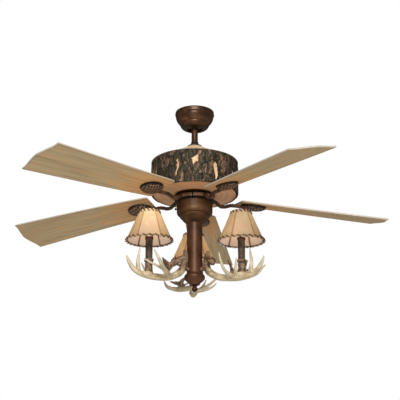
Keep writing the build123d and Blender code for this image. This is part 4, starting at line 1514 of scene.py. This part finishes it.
@dataclass
class AntlerArm:
    """Cast antler that curls out from the column and holds one candle cup."""

    voxel: float = 1.5
    soften: int = 6                                     # rounds of smoothing of the fused branches
    lamp: float = LAMP_R / MM
    column: float = 25.3
    cup_zone: tuple[float, float] = (17.0, -578.0)      # radius and lowest height of the burr round a cup
    cup_burr: float = 0.85
    rim_zone: Triple = (11.0, -552.0, 18.0)             # inner radius, low end and depth of the jagged rim
    rim_jag: float = 3.0
    branch_gap: float = 400.0                           # keeps one branch's grooves apart from the next
    branches: dict[str, Branch] = field(default_factory=lambda: {
        "beam": Branch(((42, 12, -494, 7), (40, 7, -515, 10), (41, 3, -533, 11), (50, 0, -557, 11.5),
                        (82, 0, -579, 11), (118, 0, -587, 11), (176, 0, -587, 10), (214, 0, -577, 8),
                        (235, -1, -554, 6), (244, -2, -533, 2.4)), Tone.BEAM),
        "lug": Branch(((22, 0, -549, 7), (34, 0, -548, 7.5), (46, 0, -547, 8)), Tone.BURR),
        "upright": Branch(((200, -6, -576, 8), (203, -5, -547, 5.5), (200, -4, -522, 4),
                           (198, -3, -504, 2.3))),
        "short": Branch(((150, -8, -584, 7), (160, -29, -567, 5), (170, -44, -538, 2.2))),
        "long": Branch(((88, 0, -582, 9), (116, 31, -583, 8.5), (146, 60, -577, 7.5), (178, 88, -560, 5.5),
                        (203, 99, -533, 2.2))),
        "fork": Branch(((146, 60, -577, 6), (160, 37, -562, 4.5), (172, 19, -550, 3.5), (187, 4, -537, 2.0))),
        "stub": Branch(((44, 4, -515, 10), (60, -9, -524, 10), (77, -22, -538, 9)), Tone.BURR),
        "thorn": Branch(((120, 36, -571, 7.5), (115, 42, -562, 7.5), (115.5, 33, -550, 5.2),
                         (116.5, 19, -539, 3.6), (117.5, 3, -527, 2.0)), Tone.BURR),
        "spur": Branch(((118, 36, -570, 7.5), (131, 48, -562, 7.5), (146, 62, -555, 5),
                        (162, 78, -547, 2)), Tone.BURR),
        "inner": Branch(((126, 0, -587, 8), (128, -24, -580, 6), (127, -50, -566, 4.8),
                         (129, -70, -549, 4.0), (132, -88, -528, 2.2))),
        "lower": Branch(((138, 0, -585, 8), (137, -25, -583, 6), (135, -48, -578, 4.8),
                         (134, -64, -570, 3.5), (133, -76, -559, 2.2))),
    })

    def cup(self) -> Shape:
        """Burr that holds the candle, flaring to a jagged rim.

        Returns:
            The cup in the antler's own axes, in millimetres.
        """
        outline = [(0.5, -592), (13.0, -590), (12.8, -576), (11.6, -564), (11.4, -556), (12.8, -548),
                   (14.4, -540), (14.6, -535.6), (13.2, -534.2), (12.4, -536), (12.0, -549.2), (0.5, -549.3)]
        cup = turned(smooth_line(outline, 3), 60)
        x, y, z = cup.points.T
        jag = np.array([noise.noise(Vector((2.6 * cos(t), 2.6 * sin(t), 4.0))) for t in np.arctan2(y, x)])
        inner, low, depth = self.rim_zone
        rise = np.clip((z - low) / depth, 0, 1) * (np.hypot(x, y) > inner)
        cup.points[:, 2] += self.rim_jag * np.minimum(jag, 0.0) * rise
        cup.points[:, 0] += self.lamp
        return cup

    def fused(self) -> tuple[np.ndarray, np.ndarray, list[tuple[int, ...]]]:
        """Fuse the branches and the cup into one rounded skin.

        Returns:
            The skin's points in millimetres, its normals and its faces.
        """
        whole = Shape.joined([branch.bar() for branch in self.branches.values()] + [self.cup()])
        mesh = bpy.data.meshes.new("antler_raw")
        mesh.from_pydata([tuple(p) for p in whole.points], [], whole.faces)
        raw = bpy.data.objects.new("antler_raw", mesh)
        bpy.context.scene.collection.objects.link(raw)
        fuse = raw.modifiers.new("fuse", "REMESH")
        fuse.mode = "VOXEL"
        fuse.voxel_size = self.voxel
        soften = raw.modifiers.new("soften", "SMOOTH")
        soften.factor = 0.5
        soften.iterations = self.soften
        ready = raw.evaluated_get(bpy.context.evaluated_depsgraph_get())
        cast = ready.to_mesh()
        points = np.array([v.co[:] for v in cast.vertices])
        normals = np.array([v.normal[:] for v in cast.vertices])
        faces = [tuple(p.vertices) for p in cast.polygons]
        ready.to_mesh_clear()
        bpy.data.objects.remove(raw)
        return points, normals, faces

    def cast(self) -> Shape:
        """Give the fused skin its grooves, knobs and tone.

        Returns:
            The antler in its own axes, in metres.
        """
        points, normals, faces = self.fused()
        guides = np.vstack([b.guide(k * self.branch_gap) for k, b in enumerate(self.branches.values())])
        lines, radii = guides[:, :3], guides[:, 9]
        nearest = guides[[np.argmin(np.linalg.norm(lines - p, axis=1) - radii) for p in points]]
        away = points - nearest[:, :3]
        angle = np.arctan2((away * nearest[:, 6:9]).sum(1), (away * nearest[:, 3:6]).sum(1))
        size, length, root, tip = nearest[:, 9:].T
        wrap = np.stack([2.3 * np.cos(angle), 2.3 * np.sin(angle), length * 0.035], axis=1)
        flute = np.array([noise.noise(Vector(w)) + 0.4 * noise.noise(Vector(w) * 2.3) for w in wrap])
        cup_r, cup_z = self.cup_zone
        in_cup = (np.hypot(points[:, 0] - self.lamp, points[:, 1]) < cup_r) & (points[:, 2] > cup_z)
        root = np.where(in_cup, self.cup_burr, root)
        knobs = clouds(points, 0.16, 3, 9.0)
        pearl = np.clip(clouds(points, 0.30, 2, 14.0), -0.3, 1)
        lift = 0.055 * size * np.clip(flute * 1.6, -1, 1) * (1 - 0.4 * root)
        lift = lift + root * (0.9 * knobs + 1.1 * pearl)
        points = points + normals * lift[:, None]
        radial = np.hypot(points[:, 0], points[:, 1])
        points[:, :2] *= np.maximum(1.0, self.column / np.maximum(radial, 1e-6))[:, None]
        groove = np.clip(0.5 - 0.9 * flute - 0.7 * knobs * root, 0, 1)
        return Shape(MM * points, faces, {"root": root, "groove": groove, "tip": tip})

    def build(self) -> None:
        """Cast one antler and hang it at each lamp's azimuth."""
        shape = self.cast()
        for lamp, azimuth in LAMPS.items():
            made = piece(f"antler_{lamp}", shape, ANTLER, Body.HANGING,
                         Matrix.Rotation(radians(azimuth), 4, "Z"), crease=75)
            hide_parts(f"antler_arm_{lamp}")


# ---------------------------------------------------------------- lamps
@dataclass
class Lamp:
    """Candle tube, bulb and laced rawhide shade at one lamp place."""

    side: str
    azimuth: float
    tube_r: float = 11.25
    tube_low: float = -549.0
    tube_high: float = -463.0
    tube_wall: float = 1.2
    ridge: float = 0.5
    lip: float = 2.2
    lip_height: float = 9.0
    low: float = -478.0
    high: float = -378.0
    low_r: float = 74.0
    high_r: float = 31.0
    wall: float = 1.5
    panels: int = 6
    low_stitches: int = 24
    high_stitches: int = 16
    stitch_reach: tuple[float, float] = (7.2, 8.0)      # from the edge, at the low and the top rim
    stitch_slant: tuple[float, float] = (0.5, 0.42)     # as shares of a stitch's place on the rim
    lace: float = 1.65
    flatness: float = 0.028                             # share by which a panel is flat between its seams
    sag: float = 0.012                                  # share by which it sags at half height
    ripple: float = 0.006                               # share by which the stitches pucker the low rim
    seam_lap: float = 0.7                               # how far the lapped hide stands up beside a seam
    seam_groove: float = 0.9                            # how deep the seam lies between the laps
    stitch_pull: tuple[float, float] = (0.9, 0.7)       # how far the stitches pull the low and the top rim
    front_droop: float = 4.6
    tape: float = 1.25
    tape_points: int = 14
    # Painted light per panel, from pale (0) to amber (1): the panel facing the front is pale and those to its
    # sides amber.
    panel_shading: tuple[float, ...] = (0.6, 0.3, 0.5, 0.66, 0.08, 0.72)

    @property
    def body(self) -> Body:
        """The body that the shade turns with."""
        return Body["SHADE_" + self.side.upper()]

    def place(self) -> Matrix:
        """The lamp's own axes, upright on the candle's axis."""
        a = radians(self.azimuth)
        return Matrix.Translation((LAMP_R * cos(a), LAMP_R * sin(a), 0))

    def candle(self) -> None:
        """Tube with upright bark ridges and a thick uneven lip."""
        z = np.concatenate([np.linspace(self.tube_low, self.tube_high - self.lip_height - 0.6, 46),
                            np.linspace(self.tube_high - self.lip_height, self.tube_high, 9)])
        turn = np.linspace(0, 2 * pi, 72, endpoint=False)
        grid_t, grid_z = np.meshgrid(turn, z)
        probe = round_axis(self.tube_r, grid_t, grid_z * 0.22)
        ridge = clouds(probe.reshape(-1, 3), 0.34, 3, self.azimuth).reshape(grid_t.shape)
        r = self.tube_r - 0.15 + self.ridge * ridge
        lip = grid_z >= self.tube_high - self.lip_height - 0.3
        fall = np.abs(grid_z - (self.tube_high - self.lip_height / 2)) / (self.lip_height / 2)
        r = np.where(lip, r + self.lip * np.sqrt(np.clip(1 - 0.8 * fall ** 3, 0, 1)), r)
        bore = [round_axis(self.tube_r - self.tube_wall, turn, end)[None]
                for end in (self.tube_high, self.tube_low)]
        tube = skin(MM * np.vstack([round_axis(r, grid_t, grid_z), *bore]), loop=True)
        made = piece(f"candle_{self.side}", tube, CANDLE, Body.HANGING, self.place(),
                     crease=60)
        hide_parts(f"candle_sleeve_{self.side}")

    def seam_share(self, turn: np.ndarray) -> np.ndarray:
        """How near a seam each angle is, from 0 in the middle of a panel to 1."""
        return np.abs((turn * self.panels / (2 * pi)) % 1 - 0.5) * 2

    def radius(self, turn: np.ndarray, rise: np.ndarray, wall: float = 0.0) -> np.ndarray:
        """Radius of the hide, a little flat between seams and raised at them.

        Args:
            turn: Angles round the shade in radians.
            rise: Height share, 0 at the low rim and 1 at the top.
            wall: Distance inside the outer face in millimetres.

        Returns:
            Radii in millimetres.
        """
        cone = self.low_r + (self.high_r - self.low_r) * rise
        part = self.seam_share(turn)
        middle = np.sqrt(np.clip(np.sin(pi * rise), 0, 1))
        flat = 1 - self.flatness * (1 - part ** 2) * middle
        sag = 1 - self.sag * np.sin(pi * rise) * (1 - part ** 2)
        ripple = 1 + self.ripple * np.sin(turn * self.low_stitches) * np.clip(1 - rise / 0.12, 0, 1)
        return cone * flat * sag * ripple - wall - 0.35

    def droop(self, turn: np.ndarray, rise: np.ndarray) -> np.ndarray:
        """How far the low rim hangs down at its front, in millimetres."""
        away = np.abs((turn - 1.5 * pi + pi) % (2 * pi) - pi)
        return -self.front_droop * np.exp(-(away / 0.75) ** 2) * (1 - rise) ** 2

    def hide(self) -> None:
        """Six panels of hide with a stitched-down seam between each two."""
        turn = np.linspace(0, 2 * pi, 360, endpoint=False)
        rise = np.concatenate([np.linspace(0, 0.06, 4, endpoint=False), np.linspace(0.06, 0.96, 30),
                               np.linspace(0.97, 1, 3)])
        grid_t, grid_r = np.meshgrid(turn, rise)
        part = self.seam_share(grid_t)
        seam = np.clip((part - 0.88) / 0.08, 0, 1)
        lap = self.seam_lap * np.clip((part - 0.84) / 0.1, 0, 1)
        lap = lap - self.seam_groove * np.clip((part - 0.95) / 0.05, 0, 1)
        uneven = clouds(round_axis(2.2, turn, self.azimuth), 1.0, 2, 2.0)
        low_pull, top_pull = self.stitch_pull
        pull = low_pull * np.cos(turn * self.low_stitches)[None, :] * np.clip(1 - grid_r / 0.05, 0, 1)
        pull = pull - (top_pull * np.cos(turn * self.high_stitches)[None, :]
                       * np.clip((grid_r - 0.95) / 0.05, 0, 1))
        z = self.low + (self.high - self.low) * grid_r + uneven[None, :] * (1 - grid_r) + 0.8 - pull
        z = np.minimum(z + self.droop(grid_t, grid_r), self.high - 0.1)
        # Painted light: each panel takes its painted shading value.
        tone = np.array(self.panel_shading)[(grid_t * self.panels / (2 * pi)).astype(int) % self.panels]
        outer = round_axis(self.radius(grid_t, grid_r) + lap, grid_t, z)
        inner = round_axis(self.radius(grid_t, grid_r, self.wall), grid_t, z)
        skinned = skin(MM * np.vstack([outer, inner[::-1]]), loop=True)
        for mark, values in (("rise", grid_r), ("seam", seam), ("panel_shade", tone)):
            skinned.marks[mark] = np.vstack([values, values[::-1]]).ravel()
        outside = (len(rise) - 1) * len(turn)
        skinned.finishes = [0] * outside + [1] * (len(skinned.faces) - outside)
        hide = GLOWING_HIDE if self.side == "back" else HIDE
        made = piece(f"hide_shade_{self.side}", skinned, [hide, HIDE_LINING], self.body,
                     self.place(), crease=70)
        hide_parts(f"shade_{self.side}")

    def stitch(self, angle: float, low_rim: bool) -> Shape:
        """One lace stitch, slanting over a rim from the outside to the inside.

        Args:
            angle: Where it crosses the rim, in radians.
            low_rim: It is on the low rim, not the top one.

        Returns:
            The stitch in the lamp's axes.
        """
        rim = 0 if low_rim else 1
        count, reach = (self.low_stitches, self.high_stitches)[rim], self.stitch_reach[rim]
        slant = self.stitch_slant[rim] * 2 * pi / count
        slope = (self.low_r - self.high_r) / (self.high - self.low)
        sign, rim_z = ((1, self.low), (-1, self.high))[rim]
        if low_rim:
            rim_z += float(self.droop(np.array(angle), np.array(0.0))) + 1.2
        rim_r = float(self.radius(np.array(angle), np.array(0.0 if low_rim else 1.0)))
        w = self.lace
        points = []
        for turn_share, height, out in ((-1.0, reach, 0.1), (-0.85, reach * 0.9, 0.9 * w),
                                        (-0.35, reach * 0.45, w), (0.0, 0.3 * w, 0.95 * w),
                                        (0.12, -0.45 * w, 0.1), (0.22, 0.2 * w, -self.wall - w),
                                        (0.4, reach * 0.35, -self.wall - w),
                                        (0.55, reach * 0.6, -self.wall + 0.2)):
            a = angle + sign * turn_share * slant
            z = rim_z + sign * (height + 0.65)
            r = rim_r - sign * slope * height + out
            points.append((r * cos(a), r * sin(a), z))
        path = smooth_line(points, 4)
        path[:, 2] = np.minimum(path[:, 2], self.high - 0.7)
        return bar_along(MM * path, MM * np.full(len(path), w), 8)

    def lacing(self) -> None:
        """Whip stitches round both rims."""
        stitches = [self.stitch(2 * pi * (k + 0.5) / count, low_rim)
                    for count, low_rim in ((self.low_stitches, True), (self.high_stitches, False))
                    for k in range(count)]
        piece(f"lacing_{self.side}", Shape.joined(stitches), LACE, self.body, self.place())

    def ribs(self) -> None:
        """Tapes along the wire ribs inside; the CAD frame has the hoops and the bulb clip."""
        inset = self.wall + 1.7
        rise = np.linspace(0.03, 0.97, self.tape_points)
        tapes = []
        for k in range(self.panels):
            a = 2 * pi * k / self.panels
            r = self.radius(np.full(self.tape_points, a), rise) - inset
            path = round_axis(r, a, self.low + (self.high - self.low) * rise)
            tapes.append(bar_along(MM * path, MM * np.full(self.tape_points, self.tape), 10, 0.8))
        piece(f"rib_tapes_{self.side}", Shape.joined(tapes), RIB_TAPE, self.body, self.place())
        dress(CAST_BRONZE, f"shade_frame_{self.side}")

    def build(self) -> None:
        """Make the lamp's pieces."""
        self.candle()
        self.hide()
        self.lacing()
        self.ribs()
        dress(GLASS, f"bulb_{self.side}")


# ---------------------------------------------------------------- studio
@dataclass
class Studio:
    """Pale floor, soft lights and the camera."""

    distance: float = 3.10122       # from the camera to the hub, in metres
    side: float = 2.72              # degrees by which it stands to the left of the front
    rise: float = 18.86             # degrees by which the hub is above it
    heading: float = 3.062          # degrees by which it is turned to the right
    aim_up: float = 18.66           # degrees by which it is tilted up
    roll: float = -0.08
    lens: float = 85.04
    sensor: float = 36.0
    floor_z: float = -2.4
    room: float = 0.32              # strength of the surroundings as light
    mirrored: float = 0.1           # and as they show in reflections
    aim_z: float = -0.35            # height that the soft boxes look at, in metres

    def world(self) -> None:
        """Even pale surroundings, bright to look at and softer as light."""
        world = bpy.data.worlds.new("soft_room")
        bpy.context.scene.world = world
        world.use_nodes = True
        tree = world.node_tree
        tree.nodes.clear()
        output = tree.nodes.new("ShaderNodeOutputWorld")
        shades = []
        for colour, strength in (((1, 0.985, 0.96, 1), self.room), ((1, 0.97, 0.94, 1), self.mirrored),
                                 ((1, 1, 1, 1), 1.0)):
            shade = tree.nodes.new("ShaderNodeBackground")
            shade.inputs[0].default_value = colour
            shade.inputs[1].default_value = strength
            shades.append(shade)
        path = tree.nodes.new("ShaderNodeLightPath")
        below = shades[0]
        for ray, shade in (("Is Glossy Ray", shades[1]), ("Is Camera Ray", shades[2])):
            mix = tree.nodes.new("ShaderNodeMixShader")
            tree.links.new(path.outputs[ray], mix.inputs[0])
            tree.links.new(below.outputs[0], mix.inputs[1])
            tree.links.new(shade.outputs[0], mix.inputs[2])
            below = mix
        tree.links.new(below.outputs[0], output.inputs[0])

    def lamp(self, name: str, at: Triple, size: float, power: float, tint: Colour = (1, 1, 1),
             mirrored: bool = True) -> None:
        """Hang one soft box that looks at the fan.

        Args:
            name: The light's name.
            at: Its place in metres.
            size: Its side in metres.
            power: Its power in watts.
            tint: Its colour.
            mirrored: It shows in reflections.
        """
        data = bpy.data.lights.new(name, "AREA")
        data.shape = "SQUARE"
        data.size = size
        data.energy = power
        data.color = tint
        made = bpy.data.objects.new(name, data)
        bpy.context.scene.collection.objects.link(made)
        made.location = at
        made.visible_glossy = mirrored
        aim = Vector((0, 0, self.aim_z)) - Vector(at)
        made.rotation_euler = aim.to_track_quat("-Z", "Y").to_euler()

    def camera(self) -> None:
        """Camera below and in front, looking up at the fan."""
        data = bpy.data.cameras.new("front_low")
        data.lens = self.lens
        data.sensor_width = self.sensor
        data.dof.use_dof = False
        data.clip_start, data.clip_end = 0.05, 60.0
        made = bpy.data.objects.new("front_low", data)
        bpy.context.scene.collection.objects.link(made)
        turn = radians(self.side)
        flat, drop = self.distance * cos(radians(self.rise)), self.distance * sin(radians(self.rise))
        made.location = (-flat * sin(turn), -flat * cos(turn), HUB_Z - drop)
        heading, up = radians(self.heading), radians(self.aim_up)
        look = Vector((sin(heading) * cos(up), cos(heading) * cos(up), sin(up)))
        made.rotation_mode = "QUATERNION"
        made.rotation_quaternion = look.to_track_quat("-Z", "Y") @ Matrix.Rotation(
            radians(self.roll), 3, "Z").to_quaternion()
        bpy.context.scene.camera = made

    def floor(self) -> None:
        """Pale floor far below, faintly uneven in tone."""
        mesh = bpy.data.meshes.new("studio_floor")
        plate = bmesh.new()
        bmesh.ops.create_grid(plate, x_segments=8, y_segments=8, size=7.0)
        plate.to_mesh(mesh)
        plate.free()
        mesh.materials.append(FLOOR.material())
        made = bpy.data.objects.new("studio_floor", mesh)
        made.location = (0, 0, self.floor_z)
        bpy.context.scene.collection.objects.link(made)

    def build(self) -> None:
        """Set up the whole studio."""
        bpy.context.scene.view_settings.view_transform = "Standard"
        self.world()
        self.lamp("key_box", (-0.25, -3.1, 0.75), 1.5, 92.0, (1, 0.98, 0.95))
        self.lamp("fill_box", (2.6, -2.2, -0.4), 1.8, 16.0, mirrored=False)
        self.lamp("under_box", (0.2, -1.6, -2.2), 2.4, 22.0, (1, 0.98, 0.95), mirrored=False)
        self.lamp("back_box", (0.6, 2.6, 1.0), 2.0, 26.0, mirrored=False)
        self.camera()
        self.floor()
        log.info("studio ready")


def main() -> None:
    """Build every piece in order."""
    logging.basicConfig(level=logging.INFO, format="%(name)s: %(message)s")
    CeilingMount().build()
    MotorHousing().build()
    for number, azimuth in enumerate(BLADE_AZIMUTHS, 1):
        lift, twist = BLADE_BENDS[number - 1]
        blade = Blade(number, azimuth, lift=lift, twist=twist)
        blade.build()
        BladeArm(number, azimuth, blade).build()
    LampStem().build()
    AntlerArm().build()
    for side, azimuth in LAMPS.items():
        Lamp(side, azimuth).build()
    Studio().build()


if __name__ == "__main__":
    main()
